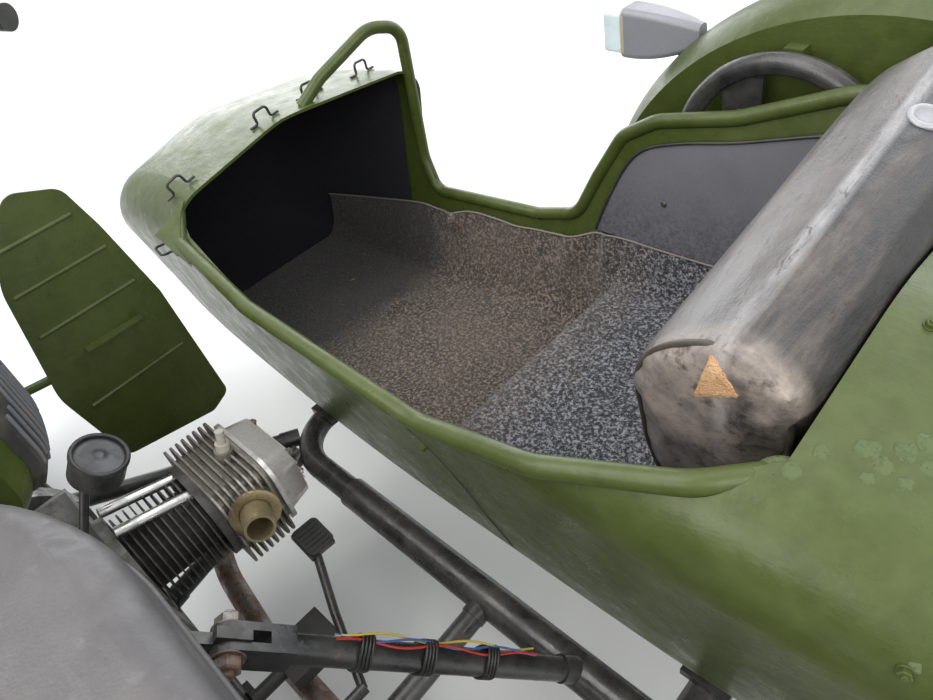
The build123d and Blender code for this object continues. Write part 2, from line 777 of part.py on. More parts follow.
rear_guard_radius = 366.0
with BuildPart() as rear_fender:
    with BuildSketch(radial_plane(rear_axle, 48)):
        with BuildLine():
            Polyline((-70, rear_guard_radius - 60), (-70, rear_guard_radius - 16))
            ThreePointArc(
                (-70, rear_guard_radius - 16), (0, rear_guard_radius), (70, rear_guard_radius - 16)
            )
            Polyline(
                (70, rear_guard_radius - 16),
                (70, rear_guard_radius - 60),
                (70 - sheet, rear_guard_radius - 60),
                (70 - sheet, rear_guard_radius - 16 - sheet),
            )
            ThreePointArc(
                (70 - sheet, rear_guard_radius - 16 - sheet),
                (0, rear_guard_radius - sheet),
                (sheet - 70, rear_guard_radius - 16 - sheet),
            )
            Polyline(
                (sheet - 70, rear_guard_radius - 16 - sheet),
                (sheet - 70, rear_guard_radius - 60),
                (-70, rear_guard_radius - 60),
            )
        make_face()
    revolve(axis=Axis(rear_axle, (0, -1, 0)), revolution_arc=140)
finish(rear_fender.part, "rear_fender")

tail_angle = math.radians(148)
with BuildPart() as tail_lamp:
    reach = rear_guard_radius + fit_gap
    tail_origin = (reach * math.cos(tail_angle), 0, pivot_z + reach * math.sin(tail_angle))
    with Locations(Plane(origin=tail_origin, z_dir=(math.cos(tail_angle), 0, math.sin(tail_angle)))):
        Box(26, 60, 24, align=(Align.CENTER, Align.CENTER, Align.MIN))
    with Locations(Plane(origin=(tail_origin[0] - 22, 0, tail_origin[2] + 12), z_dir=(-1, 0, 0))):
        Cylinder(36, 34, align=(Align.CENTER, Align.CENTER, Align.MIN))
finish(tail_lamp.part, "tail_lamp")

arm_y = 78.0
with BuildPart() as swingarm:
    rod((upright_x, -arm_y - 10, pivot_z), (upright_x, arm_y + 10, pivot_z), 16)
    rod((upright_x, -126, pivot_z), (upright_x, 126, pivot_z), 9)
    rod((upright_x, arm_y, pivot_z), (0, arm_y, pivot_z), 12)
    rod((upright_x, -arm_y, pivot_z), (94, -arm_y, pivot_z), 12)
    rod((0, -134, pivot_z), (0, arm_y + 22, pivot_z), axle_radius)
    rod((55, arm_y - 6, pivot_z), (55, shock_half + 22, pivot_z), 9)
finish(swingarm.part, "swingarm")

with BuildPart() as final_drive:
    with Locations(Plane(origin=(0, 0, pivot_z), z_dir=(0, 1, 0))):
        with Locations((0, 0, -90)):
            Cylinder(90, 70)
            Cylinder(60, 78)
    rod((70, -arm_y, 372), (464.7, -arm_y, 372), 11)
    rod((55, -100, pivot_z), (55, -shock_half - 22, pivot_z), 9)
    with Locations(Plane(origin=(0, 0, pivot_z), z_dir=(0, 1, 0))):
        Cylinder(axle_radius + fit_gap, 400, mode=Mode.SUBTRACT)
    with Locations(Plane(origin=(94 - fit_gap, -arm_y, pivot_z), z_dir=(1, 0, 0))):
        Cylinder(20, 40, align=(Align.CENTER, Align.CENTER, Align.MIN), mode=Mode.SUBTRACT)
finish(final_drive.part, "final_drive")

with BuildPart() as rear_shocks:
    for side in (1, -1):
        low = Vector(55, side * shock_half, pivot_z)
        high = Vector(shock_top[0], side * shock_half, shock_top[1])
        run = (high - low).normalized()
        rod(tuple(low + run * 12), tuple(high - run * 12), 11)
        rod(tuple(low + run * 130), tuple(high - run * 30), 26)
        rod(tuple(low + run * 34), tuple(low + run * 128), 20)
        for end, pin in ((low, 9), (high, 8)):
            with Locations(Plane(origin=tuple(end), z_dir=(0, 1, 0))):
                Cylinder(14, 30)
                Cylinder(pin + fit_gap, 40, mode=Mode.SUBTRACT)
finish(rear_shocks.part, "rear_shocks")

footrest_z = 206.0
with BuildPart() as footrests:
    for side in (1, -1):
        rod(
            (600, side * (cradle_half_width + frame_tube_radius + fit_gap), footrest_z),
            (600, side * 268, footrest_z),
            11,
        )
        with Locations((600, side * 222, footrest_z)):
            Box(74, 92, 26)
        with Locations((600, side * (cradle_half_width + frame_tube_radius + 5), cradle_height + 4)):
            Box(60, 9.4, 44)
finish(footrests.part, "footrests")

with BuildPart() as foot_levers:
    rod((474, -(cradle_half_width + 7 + fit_gap), 226), (474, -240, 226), 9)
    tube([(474, -236, 226), (580, -278, 254), (671, -321, 283)], [90], 7)
    with Locations(Plane(origin=(681, -327, 289), z_dir=(-0.35, -0.1, 1))):
        Box(52, 44, 12)
    rod((590, 104 + fit_gap, 262), (590, 150, 262), 9)
    tube([(590, 146, 262), (640, 170, 262), (672, 190, 268)], [40], 6)
    rod((676, 176, 268), (676, 222, 268), 11)
    rod((510, 104 + fit_gap, 330), (510, 160, 330), 10)
    tube([(510, 154, 330), (470, 168, 470), (462, 178, 520)], [60], 9)
    rod((462, 168, 520), (462, 250, 520), 12)
finish(foot_levers.part, "foot_levers")

with BuildPart() as signal_horn:
    with Locations((780, -92, 478.9 + fit_gap + 2)):
        Box(36, 26, 4)
    rod((780, -94, 481), (788, -144, 560), 6)
    with Locations(Plane(origin=(793, -165, 560), z_dir=(-0.35, -0.45, 0.82))):
        Cylinder(35, 34)
finish(signal_horn.part, "signal_horn")

with BuildPart() as battery_box:
    with Locations((330, 178, 468)):
        Box(110, 84, 150)
        with Locations((0, 0, 78)):
            Box(118, 92, 12)
    with Locations((378, 133.65, 430)):
        Box(34, 20.7, 50)
finish(battery_box.part, "battery_box")

shield_outline = (
    # y outwards, z
    (279.0, 845.0),
    (346.0, 820.0),
    (365.0, 750.0),
    (391.0, 615.0),
    (404.0, 378.0),
    (366.0, 359.0),
    (212.0, 388.0),
    (183.0, 546.0),
    (211.0, 737.0),
)
shield_x = 1000.0
rib_radius = 3.4
shield_ribs = (
    # y, z of a pressed rib's inner end, then of its outer end
    (238.0, 780.0, 340.0, 783.0),
    (218.0, 716.0, 357.0, 719.0),
    (214.0, 648.0, 366.0, 651.0),
    (214.0, 506.0, 380.0, 512.0),
)
with BuildPart() as leg_shields:
    for side in (1, -1):
        with BuildSketch(Plane(origin=(shield_x, 0, 0), x_dir=(0, side, 0), z_dir=(side, 0, 0))):
            with BuildLine():
                FilletPolyline(*shield_outline, radius=[25, 25, 100, 100, 18, 18, 18, 100, 100], close=True)
            make_face()
        extrude(amount=side * sheet)
        for inner_y, inner_z, outer_y, outer_z in shield_ribs:
            rod((shield_x, side * inner_y, inner_z), (shield_x, side * outer_y, outer_z), rib_radius)
        with Locations((shield_x - 8, side * 299, 598)):
            Box(18, 92, 2.4)
        tube(
            [
                (1158, side * 66, 578),
                (1020, side * 140, 578),
                (shield_x + 9, side * 190, 578),
                (shield_x + 9, side * 320, 578),
            ],
            [50, 30],
            7,
        )
finish(leg_shields.part, "leg_shields")

with BuildPart() as centre_stand:
    rod((stand_x, -106, stand_z), (stand_x, 106, stand_z), stand_pin)
    rod((stand_x, -92, stand_z), (stand_x, 92, stand_z), 11)
    for side in (1, -1):
        tube(
            [
                (stand_x, side * 80, stand_z),
                (stand_x - 90, side * 80, stand_z - 8),
                (stand_x - 205, side * 112, stand_z - 14),
            ],
            [70],
            10,
        )
    rod((stand_x - 80, -80, stand_z - 7), (stand_x - 80, 80, stand_z - 7), 8)
finish(centre_stand.part, "centre_stand")

# Sidecar chassis
with BuildPart() as sidecar_frame:
    tube(
        [
            (chassis_front_x, chassis_left_y, chassis_z),
            (chassis_front_x, chassis_right_y, chassis_z),
            (chassis_rear_x, chassis_right_y, chassis_z),
            (chassis_rear_x, chassis_left_y, chassis_z),
        ],
        [90, 90, 90, 90],
        chassis_front_radius,
        closed=True,
    )
    rod((chassis_step_x, chassis_left_y, chassis_z), (-30, chassis_left_y, chassis_z), chassis_radius)
    rod((110, chassis_left_y, chassis_z), (110, chassis_right_y, chassis_z), chassis_front_radius)
    tube(
        [
            (hoop_centre_x + hoop_bend, chassis_right_y - 10, chassis_z),
            (hoop_centre_x + hoop_bend, chassis_right_y - 14, hoop_top_z - hoop_radius),
            (hoop_centre_x - hoop_bend, chassis_right_y - 14, hoop_top_z - hoop_radius),
            (hoop_centre_x - hoop_bend, chassis_right_y - 10, chassis_z),
        ],
        [hoop_bend - 1, hoop_bend - 1],
        hoop_radius,
    )
    with Locations((391, chassis_right_y - 16, 728)):
        Box(56, 6, 70)
    rod((391, chassis_right_y - 12, 707), (391, chassis_right_y - 43, 707), 7)
    with Locations(
        (860, -520, 313), (860, -910, 313), (110, -520, 313), (110, -910, 313)
    ):
        Box(60, 60, 11.8)
    for name, start, end, radius in strut_lines:
        run = (Vector(*end) - Vector(*start)).normalized()
        rod(end, tuple(Vector(*end) - run * socket_length), radius + 2)
finish(sidecar_frame.part, "sidecar_frame")

clevis_reach = 44.0
clevis_gap = lug_thickness / 2 + fit_gap
with BuildPart() as sidecar_struts:
    for name, start, end, radius in strut_lines:
        run = (Vector(*end) - Vector(*start)).normalized()
        near = clevis_reach - 6 if name == "rear upper" else socket_length + fit_gap
        rod(
            tuple(Vector(*start) + run * near),
            tuple(Vector(*end) - run * (socket_length + fit_gap)),
            radius,
        )
    with Locations(clevis_plane):
        Box(62, 34, 30, align=(Align.MIN, Align.CENTER, Align.CENTER))
        Box(
            clevis_reach - 8,
            80,
            2 * clevis_gap,
            align=(Align.MIN, Align.CENTER, Align.CENTER),
            mode=Mode.SUBTRACT,
        )
        with Locations((0, 0, 0)):
            Cylinder(17, 30)
            Cylinder(25, 2 * clevis_gap, mode=Mode.SUBTRACT)
        Cylinder(clevis_bolt, 52)
finish(sidecar_struts.part, "sidecar_struts")

# Sidecar tub: a closed shell through these sections, then opened
tub_sections = (
    # x, half width left, right and below, bottom, side top left and right, crown, corner, shoulders
    (1497.0, 166.0, 158.0, 112.0, 405.0, 524.0, 545.0, 572.0, 40.0, 55.0, 50.0),
    (1435.0, 230.0, 222.0, 162.0, 350.0, 606.0, 638.0, 668.0, 50.0, 75.0, 60.0),
    (1290.0, 256.0, 260.0, 190.0, 324.0, 664.0, 702.0, 724.0, 55.0, 85.0, 60.0),
    (1045.0, 268.0, 282.0, 212.0, 320.0, 692.0, 734.0, 748.0, 60.0, 90.0, 45.0),
    (700.0, 304.0, 304.0, 228.0, 320.0, 716.0, 722.0, 764.0, 60.0, 80.0, 60.0),
    (300.0, 307.0, 307.0, 230.0, 320.0, 720.0, 720.0, 764.0, 60.0, 80.0, 80.0),
    (60.0, 300.0, 300.0, 225.0, 320.0, 712.0, 712.0, 758.0, 60.0, 95.0, 95.0),
    (-200.0, 258.0, 258.0, 200.0, 334.0, 656.0, 656.0, 700.0, 60.0, 95.0, 95.0),
    (-390.0, 192.0, 192.0, 150.0, 370.0, 566.0, 566.0, 604.0, 50.0, 75.0, 75.0),
    (-465.0, 124.0, 124.0, 98.0, 415.0, 507.0, 507.0, 535.0, 32.0, 42.0, 42.0),
)


def tub_solid(inset):
    """The whole tub as a solid, its faces moved in by the inset, in the part being built."""
    faces = []
    last = len(tub_sections) - 1
    for n, row in enumerate(tub_sections):
        x, left, right, below, low, side_left, side_right, crown, corner, turn_left, turn_right = row
        at_x = x - inset if n == 0 else x + inset if n == last else x
        plane = Plane(origin=(at_x, tub_centre_y, 0), x_dir=(0, 1, 0), z_dir=(1, 0, 0))
        with BuildSketch(plane) as section:
            with BuildLine():
                FilletPolyline(
                    (inset - below, low + inset),
                    (below - inset, low + inset),
                    (left - inset, side_left - inset * 0.8),
                    (0, crown - inset),
                    (inset - right, side_right - inset * 0.8),
                    radius=[corner - inset, corner - inset, turn_left - inset, left, turn_right - inset],
                    close=True,
                )
            make_face()
        faces.append(section.sketch)
    loft(sections=faces)


with BuildPart() as tub_outer:
    tub_solid(0)
with BuildPart() as tub_inner:
    tub_solid(tub_wall)
with BuildPart() as tub_lining_outer:
    tub_solid(tub_wall + lining_gap)

# The right wall leans out as it rises, and a flat panel carries it on up to the armrest
panel_lean = 0.193
panel_foot_y = -979.3
panel_foot_z = 500.0
panel_low = 600.0
panel_top = 655.0


def side_panel_y(z):
    """The outer face of the right side panel at this height."""
    return panel_foot_y - panel_lean * (z - panel_foot_z)


def wall_y(x, z, side):
    """The outer face of the tub's left (1) or right (-1) wall at this place."""
    met = tub_outer.part.find_intersection_points(Axis((x, tub_centre_y, z), (0, -1, 0)))
    across_tub = [point.Y for point, normal in met]
    return max(across_tub) if side > 0 else min(across_tub)


right_sill = (
    # x, z of the rim tube on the right side, from the rear forward
    (225.0, 775.0),
    (377.0, 721.0),
    (498.0, 699.0),
    (556.0, 668.0),
    (598.0, 597.0),
    (635.0, 523.0),
    (723.0, 503.0),
    (975.0, 497.0),
)
left_sill = (
    # x, z of the rim tube on the left side, from the rear forward
    (130.0, 716.0),
    (250.0, 685.0),
    (413.0, 645.0),
    (760.0, 655.0),
    (994.0, 668.0),
)
sill_left_y = -419.0
post_x = 1006.0
rim_left = [
    (30, -556, 712),
    (120, -464, 716),
    (250, -424, 685),
    (413, sill_left_y, 645),
    (760, -424, 655),
    (994, -452, 668),
    (cockpit_front_x + 12, -490, 688),
]
armrest = [(x, side_panel_y(z) + tub_wall / 2, z) for x, z in right_sill if z > panel_low - 4]
low_sill = [(x, wall_y(x, z, -1) + tub_wall / 2, z) for x, z in right_sill if z <= panel_low - 4]
rim_right = [
    (52, -885, 740),
    (54, side_panel_y(752) + tub_wall / 2, 752),
    *armrest,
    *low_sill,
    (post_x - 2, wall_y(post_x, 560, -1) + tub_wall / 2, 560),
    (post_x + 2, -986, 805),
    (post_x + 12, -925, 825),
    (post_x + 39, -815, 775),
    (post_x + 50, -770, 742),
]
left_bends = [60, 90, 120, 120, 30]
right_bends = [25, 120, 120, 60, 40, 90, 50, 90, 34, 60, 35, 60, 60]

with BuildPart() as cockpit_opening:
    with BuildSketch(Plane(origin=(0, tub_centre_y, 0), x_dir=(1, 0, 0), z_dir=(0, -1, 0))):
        Polygon(
            (cockpit_front_x, 900),
            (cockpit_rear_x, 900),
            (cockpit_rear_x, panel_top),
            (565, panel_top),
            *[point for point in right_sill if point[1] < panel_top],
            (994, 505),
            (post_x + 3, 545),
            (cockpit_front_x, 640),
            align=None,
        )
    extrude(amount=400)
    with BuildSketch(Plane(origin=(0, tub_centre_y, 0), x_dir=(1, 0, 0), z_dir=(0, -1, 0))):
        Polygon(
            (cockpit_front_x, 900),
            (40, 900),
            (40, 716),
            (128, 712),
            *left_sill[1:],
            (cockpit_front_x, 684),
            align=None,
        )
    extrude(amount=-400)
    with BuildSketch(Plane.XY.offset(380)):
        with BuildLine():
            Polyline(
                (cockpit_front_x, -300),
                (258, -300),
                (238, -424),
                (128, -458),
                (cockpit_rear_x, -514),
                (cockpit_rear_x, -1150),
                (post_x - 30, -1150),
                (cockpit_front_x, tub_centre_y),
                close=True,
            )
        make_face()
    extrude(amount=600, mode=Mode.INTERSECT)

bulkhead_x = 62.0
lid_rear_x = -372.0
lid_front_x = -80.0
lid_half_width = 150.0
lid_corner = 40.0
lid_hinge_x = lid_front_x + 9
lid_hinge_z = 744.0
lid_hinges = (tub_centre_y - 80, tub_centre_y + 80)
with BuildPart() as sidecar_tub:
    add(tub_outer.part)
    add(tub_inner.part, mode=Mode.SUBTRACT)
    add(cockpit_opening.part, mode=Mode.SUBTRACT)
    with BuildSketch(Plane.XY.offset(560)):
        with Locations(((lid_rear_x + lid_front_x) / 2, tub_centre_y)):
            RectangleRounded(lid_front_x - lid_rear_x, 2 * lid_half_width, lid_corner)
    extrude(amount=300, mode=Mode.SUBTRACT)
    for hinge_y in lid_hinges:
        for side in (1, -1):
            with Locations((lid_hinge_x, hinge_y + side * 17, lid_hinge_z - 14)):
                Box(17, 7, 44)
    with Locations(Plane(origin=(lid_hinge_x, tub_centre_y, lid_hinge_z), z_dir=(0, 1, 0))):
        Cylinder(4 + running_gap, 260, mode=Mode.SUBTRACT)
with BuildPart() as bulkhead:
    add(tub_inner.part)
    with Locations((bulkhead_x, tub_centre_y, 540)):
        Box(tub_wall, 900, 700, mode=Mode.INTERSECT)
with BuildPart() as right_panel:
    with BuildSketch(Plane(origin=(bulkhead_x - tub_wall / 2, 0, 0), x_dir=(0, 1, 0), z_dir=(1, 0, 0))):
        Polygon(
            (side_panel_y(panel_low), panel_low),
            (side_panel_y(panel_low) + tub_wall, panel_low),
            (side_panel_y(800) + tub_wall, 800),
            (side_panel_y(800), 800),
            align=None,
        )
    extrude(amount=560)
    with BuildSketch(Plane(origin=(0, tub_centre_y, 0), x_dir=(1, 0, 0), z_dir=(0, -1, 0))):
        Polygon(
            (50, panel_low),
            (50, 751),
            *[point for point in right_sill if point[1] > panel_low],
            (598, panel_low),
            align=None,
        )
    extrude(amount=400, mode=Mode.INTERSECT)
    with BuildSketch(Plane(origin=(bulkhead_x - tub_wall / 2, 0, 0), x_dir=(0, 1, 0), z_dir=(1, 0, 0))):
        Polygon(
            (-850, 712),
            (-985, 640),
            (side_panel_y(640) + 2, 640),
            (side_panel_y(752) + 2, 752),
            (-885, 741),
            align=None,
        )
    extrude(amount=tub_wall)
with BuildPart() as sidecar_body:
    add(sidecar_tub.part)
    add(bulkhead.part)
    add(right_panel.part)
    tube(rim_left, left_bends, rim_tube_radius + fit_gap, mode=Mode.SUBTRACT)
    tube(rim_right, right_bends, rim_tube_radius + fit_gap, mode=Mode.SUBTRACT)
finish(sidecar_body.part, "sidecar_tub")

with BuildPart() as tub_rim:
    tube(rim_left, left_bends, rim_tube_radius)
    tube(rim_right, right_bends, rim_tube_radius)
finish(tub_rim.part, "tub_rim")

with BuildPart() as boot_lid:
    add(tub_outer.part)
    add(tub_inner.part, mode=Mode.SUBTRACT)
    with BuildSketch(Plane.XY.offset(560)):
        with Locations(((lid_rear_x + lid_front_x) / 2, tub_centre_y)):
            RectangleRounded(
                lid_front_x - lid_rear_x - 2 * move_gap,
                2 * (lid_half_width - move_gap),
                lid_corner - move_gap,
            )
    extrude(amount=300, mode=Mode.INTERSECT)
    for hinge_y in lid_hinges:
        rod((lid_hinge_x, hinge_y - 21, lid_hinge_z), (lid_hinge_x, hinge_y + 21, lid_hinge_z), 4)
        rod((lid_hinge_x, hinge_y - 13, lid_hinge_z), (lid_hinge_x, hinge_y + 13, lid_hinge_z), 7)
        with Locations((lid_hinge_x - 22, hinge_y, lid_hinge_z + 1)):
            Box(44, 22, 6)
        with Locations((lid_hinge_x - 36, hinge_y, lid_hinge_z - 14)):
            Box(16, 22, 34)
finish(boot_lid.part, "boot_lid")

hook_wire = 2.4
hook_rise = 22.0
hook_seats = (
    # a point above the hook, the way down to the tub, and the way the hook runs
    ((1084, -522, 790), (0, 0, -1), (0.2, 0.98, 0)),
    ((1074, -703, 790), (0, 0, -1), (0.05, 1, 0)),
    ((1087, -811, 790), (0, 0, -1), (-0.05, 1, 0)),
    ((1078, -928, 790), (0, 0, -1), (-0.1, 1, 0)),
    ((1090, -380, 625), (0, -1, 0), (1, 0, 0.2)),
)
with BuildPart() as hook_clearance:
    tub_solid(-lining_gap)
with BuildPart() as tonneau_hooks:
    for start, down, run in hook_seats:
        met = tub_outer.part.find_intersection_points(Axis(start, down))
        foot, normal = min(met, key=lambda hit: (hit[0] - Vector(*start)).length)
        up = normal.normalized()
        along = (Vector(*run) - up * Vector(*run).dot(up)).normalized()
        low = foot + up * 1.5
        high = foot + up * hook_rise
        tube(
            [
                tuple(low - along * 30),
                tuple(low - along * 14),
                tuple(high - along * 14),
                tuple(high + along * 14),
                tuple(low + along * 14),
                tuple(low + along * 30),
            ],
            [5, 7, 7, 5],
            hook_wire,
        )
    add(hook_clearance.part, mode=Mode.SUBTRACT)
finish(tonneau_hooks.part, "tonneau_hooks")

# Inside the tub
seat_front_x = 540.0
seat_height = 424.0
carpet_thickness = 7.0
with BuildPart() as seat_base:
    add(tub_lining_outer.part)
    with Locations(((seat_front_x + bulkhead_x + 4) / 2, tub_centre_y, 300)):
        Box(
            seat_front_x - bulkhead_x - 4,
            900,
            seat_height - 300,
            align=(Align.CENTER, Align.CENTER, Align.MIN),
            mode=Mode.INTERSECT,
        )
finish(seat_base.part, "seat_base")

with BuildPart() as floor_carpet:
    add(tub_lining_outer.part)
    with BuildSketch(Plane(origin=(0, tub_centre_y, 0), x_dir=(1, 0, 0), z_dir=(0, -1, 0))):
        Polygon(
            (bulkhead_x + 40, seat_height + fit_gap),
            (seat_front_x + fit_gap, seat_height + fit_gap),
            (seat_front_x + fit_gap, 300),
            (1330, 300),
            (1330, 325 + tub_wall + carpet_thickness),
            (seat_front_x + carpet_thickness, 325 + carpet_thickness),
            (seat_front_x + carpet_thickness, seat_height + carpet_thickness),
            (bulkhead_x + 40, seat_height + carpet_thickness),
            align=None,
        )
    extrude(amount=400, both=True, mode=Mode.INTERSECT)
with BuildPart() as carpet_inner:
    tub_solid(tub_wall + lining_gap + carpet_thickness)
carpet_edge = (
    # x, z of the carpet's cut edge up the right wall
    (485.0, 500.0),
    (533.0, 502.0),
    (583.0, 497.0),
    (669.0, 484.0),
    (813.0, 478.0),
    (937.0, 470.0),
    (1005.0, 473.0),
    (1150.0, 452.0),
)
with BuildPart() as wall_carpet:
    add(tub_lining_outer.part)
    with BuildSketch(Plane(origin=(0, tub_centre_y, 0), x_dir=(1, 0, 0), z_dir=(0, -1, 0))):
        Polygon(
            (bulkhead_x + 40, seat_height + fit_gap),
            (seat_front_x + fit_gap, seat_height + fit_gap),
            (seat_front_x + fit_gap, 300),
            (1150, 300),
            *reversed(carpet_edge),
            (bulkhead_x + 40, 500),
            align=None,
        )
    extrude(amount=400, mode=Mode.INTERSECT)
    add(carpet_inner.part, mode=Mode.SUBTRACT)
with BuildPart() as laid_carpet:
    add(floor_carpet.part)
    add(wall_carpet.part)
finish(laid_carpet.part, "floor_carpet")

lining_thickness = 4.0
lining_low = 512.0
panel_inset = 10.0
with BuildPart() as lining_inner:
    tub_solid(tub_wall + lining_gap + lining_thickness)
with BuildPart() as left_lining:
    add(tub_lining_outer.part)
    with BuildSketch(Plane(origin=(0, tub_centre_y, 0), x_dir=(1, 0, 0), z_dir=(0, -1, 0))):
        Polygon(
            (bulkhead_x + 8, seat_height + 10),
            (620, seat_height + 10),
            (600, 628),
            (413, 622),
            (250, 650),
            (bulkhead_x + 8, 650),
            align=None,
        )
    extrude(amount=-400, mode=Mode.INTERSECT)
    add(lining_inner.part, mode=Mode.SUBTRACT)
with BuildPart() as right_lining:
    with BuildSketch(Plane(origin=(150, 0, 0), x_dir=(0, 1, 0), z_dir=(1, 0, 0))):
        Polygon(
            (side_panel_y(400) + panel_inset, 400),
            (side_panel_y(400) + panel_inset + lining_thickness, 400),
            (side_panel_y(800) + panel_inset + lining_thickness, 800),
            (side_panel_y(800) + panel_inset, 800),
            align=None,
        )
    extrude(amount=560)
    with BuildSketch(Plane(origin=(0, tub_centre_y, 0), x_dir=(1, 0, 0), z_dir=(0, -1, 0))):
        Polygon(
            (92, lining_low),
            (594, lining_low),
            (565, 584),
            (536, 638),
            (503, 664),
            (439, 681),
            (366, 694),
            (254, 725),
            (92, 735),
            align=None,
        )
    extrude(amount=400, mode=Mode.INTERSECT)
with BuildPart() as lining_pins:
    for pin_x in (250, 468):
        rod((pin_x, side_panel_y(585) + panel_inset + 2, 585), (pin_x, side_panel_y(585) - 6, 583), 6)
    add(tub_lining_outer.part, mode=Mode.INTERSECT)
with BuildPart() as side_linings:
    add(left_lining.part)
    add(right_lining.part)
    add(lining_pins.part)
finish(side_linings.part, "side_linings")

backrest_profile = (
    (98.0, 429.0),
    (205.0, 429.0),
    (242.0, 590.0),
    (242.0, 700.0),
    (216.0, 750.0),
    (165.0, 784.0),
    (116.0, 800.0),
    (78.0, 768.0),
    (72.0, 738.0),
)
backrest_left_y = -545.0
backrest_tilt = 7.5
backrest_end_gap = 18.0
with BuildPart() as level_backrest:
    with BuildSketch(Plane(origin=(0, backrest_left_y, 0), x_dir=(1, 0, 0), z_dir=(0, -1, 0))):
        with BuildLine():
            FilletPolyline(*backrest_profile, radius=[16, 30, 60, 45, 50, 40, 22, 14, 60], close=True)
        make_face()
    extrude(amount=520)
tilted_backrest = level_backrest.part.rotate(Axis((0, backrest_left_y, 700), (1, 0, 0)), -backrest_tilt)
with BuildPart() as sidecar_backrest:
    with BuildSketch(Plane(origin=(0, 0, 0), x_dir=(0, 1, 0), z_dir=(1, 0, 0))):
        Polygon(
            (side_panel_y(400) + backrest_end_gap, 400),
            (side_panel_y(900) + backrest_end_gap, 900),
            (-440, 900),
            (-440, 400),
            align=None,
        )
    extrude(amount=320)
    add(tilted_backrest, mode=Mode.INTERSECT)
finish(sidecar_backrest.part, "sidecar_backrest")

# Sidecar wheel's guard, lamp and suspension
guard_centre = (237.0, -(track + 7.0), 421.0)
guard_radius = 444.0
guard_half = 74.0
with BuildPart() as sidecar_fender:
    with BuildSketch(radial_plane(guard_centre, -14)):
        with BuildLine():
            Polyline((-guard_half, guard_radius - 70), (-guard_half, guard_radius - 26))
            ThreePointArc(
                (-guard_half, guard_radius - 26), (0, guard_radius), (guard_half, guard_radius - 26)
            )
            Polyline(
                (guard_half, guard_radius - 26),
                (guard_half, guard_radius - 70),
                (guard_half - sheet, guard_radius - 70),
                (guard_half - sheet, guard_radius - 26 - sheet),
            )
            ThreePointArc(
                (guard_half - sheet, guard_radius - 26 - sheet),
                (0, guard_radius - sheet),
                (sheet - guard_half, guard_radius - 26 - sheet),
            )
            Polyline(
                (sheet - guard_half, guard_radius - 26 - sheet),
                (sheet - guard_half, guard_radius - 70),
                (-guard_half, guard_radius - 70),
            )
        make_face()
    revolve(axis=Axis(guard_centre, (0, -1, 0)), revolution_arc=208)
    with BuildSketch(
        Plane(
            origin=(guard_centre[0], guard_centre[1] + guard_half, guard_centre[2]),
            x_dir=(1, 0, 0),
            z_dir=(0, -1, 0),
        )
    ):
        with BuildLine():
            Polyline((300, 60), (398, 60))
            ThreePointArc((398, 60), (0, 402.4), (-398, 60))
            Line((-398, 60), (-300, 60))
            ThreePointArc((-300, 60), (0, 305.9), (300, 60))
        make_face()
    extrude(amount=sheet)
    panel_y = guard_centre[1] + guard_half
    hoop_face = chassis_right_y - 14 - hoop_radius - fit_gap
    for stay_x, stay_z in ((hoop_centre_x, hoop_top_z - hoop_radius), (hoop_centre_x + hoop_bend, 650)):
        with Locations((stay_x, (panel_y + hoop_face) / 2 - 1, stay_z)):
            Box(26, hoop_face - panel_y + 2, 26)
finish(sidecar_fender.part, "sidecar_fender")

lamp_y = -1175.0
with BuildPart() as guard_envelope:
    with Locations(Plane(origin=guard_centre, z_dir=(0, 1, 0))):
        Cylinder(guard_radius + fit_gap, 200)
with BuildPart() as marker_lamp_housing:
    for at_x, half_y, low_z, high_z in ((650, 26, 722, 800), (575, 22, 728, 792), (520, 12, 746, 780)):
        with BuildSketch(
            Plane(origin=(at_x, lamp_y, (low_z + high_z) / 2), x_dir=(0, 1, 0), z_dir=(1, 0, 0))
        ):
            RectangleRounded(2 * half_y, high_z - low_z, 10)
    loft()
    with Locations((545, lamp_y, 720)):
        Box(26, 14, 60)
    add(guard_envelope.part, mode=Mode.SUBTRACT)
finish(marker_lamp_housing.part, "marker_lamp_housing")

with BuildPart() as marker_lamp_lens:
    with BuildSketch(Plane(origin=(650 + fit_gap, lamp_y, 761), x_dir=(0, 1, 0), z_dir=(1, 0, 0))):
        RectangleRounded(46, 70, 9)
    extrude(amount=38, taper=4)
finish(marker_lamp_lens.part, "marker_lamp_lens")

arm_line_y = chassis_right_y - 50
with BuildPart() as sidecar_swingarm:
    rod(
        (560, chassis_right_y - chassis_front_radius - fit_gap, chassis_z),
        (560, arm_line_y - 11, chassis_z),
        15,
    )
    rod((560, arm_line_y, chassis_z), (sidecar_axle_x, arm_line_y, tyre_radius - 2), 10)
    rod(
        (sidecar_axle_x, chassis_right_y - 24, tyre_radius),
        (sidecar_axle_x, -track - 62, tyre_radius),
        axle_radius,
    )
    rod(
        (sidecar_axle_x, chassis_right_y - 30, tyre_radius),
        (sidecar_axle_x, -track + drum_half_width + 5, tyre_radius),
        17,
    )
    rod((360, chassis_right_y - 22, 318), (360, arm_line_y, 318), 8)
finish(sidecar_swingarm.part, "sidecar_swingarm")

with BuildPart() as sidecar_shock:
    low = Vector(360, chassis_right_y - 30.5, 318)
    high = Vector(391, chassis_right_y - 31, 707)
    run = (high - low).normalized()
    rod(tuple(low + run * 12), tuple(high - run * 12), 9)
    rod(tuple(low + run * 150), tuple(high - run * 26), 15)
    for end, pin in ((low, 8), (high, 7)):
        with Locations(Plane(origin=tuple(end), z_dir=(0, 1, 0))):
            Cylinder(14, 16)
            Cylinder(pin + fit_gap, 40, mode=Mode.SUBTRACT)
finish(sidecar_shock.part, "sidecar_shock")

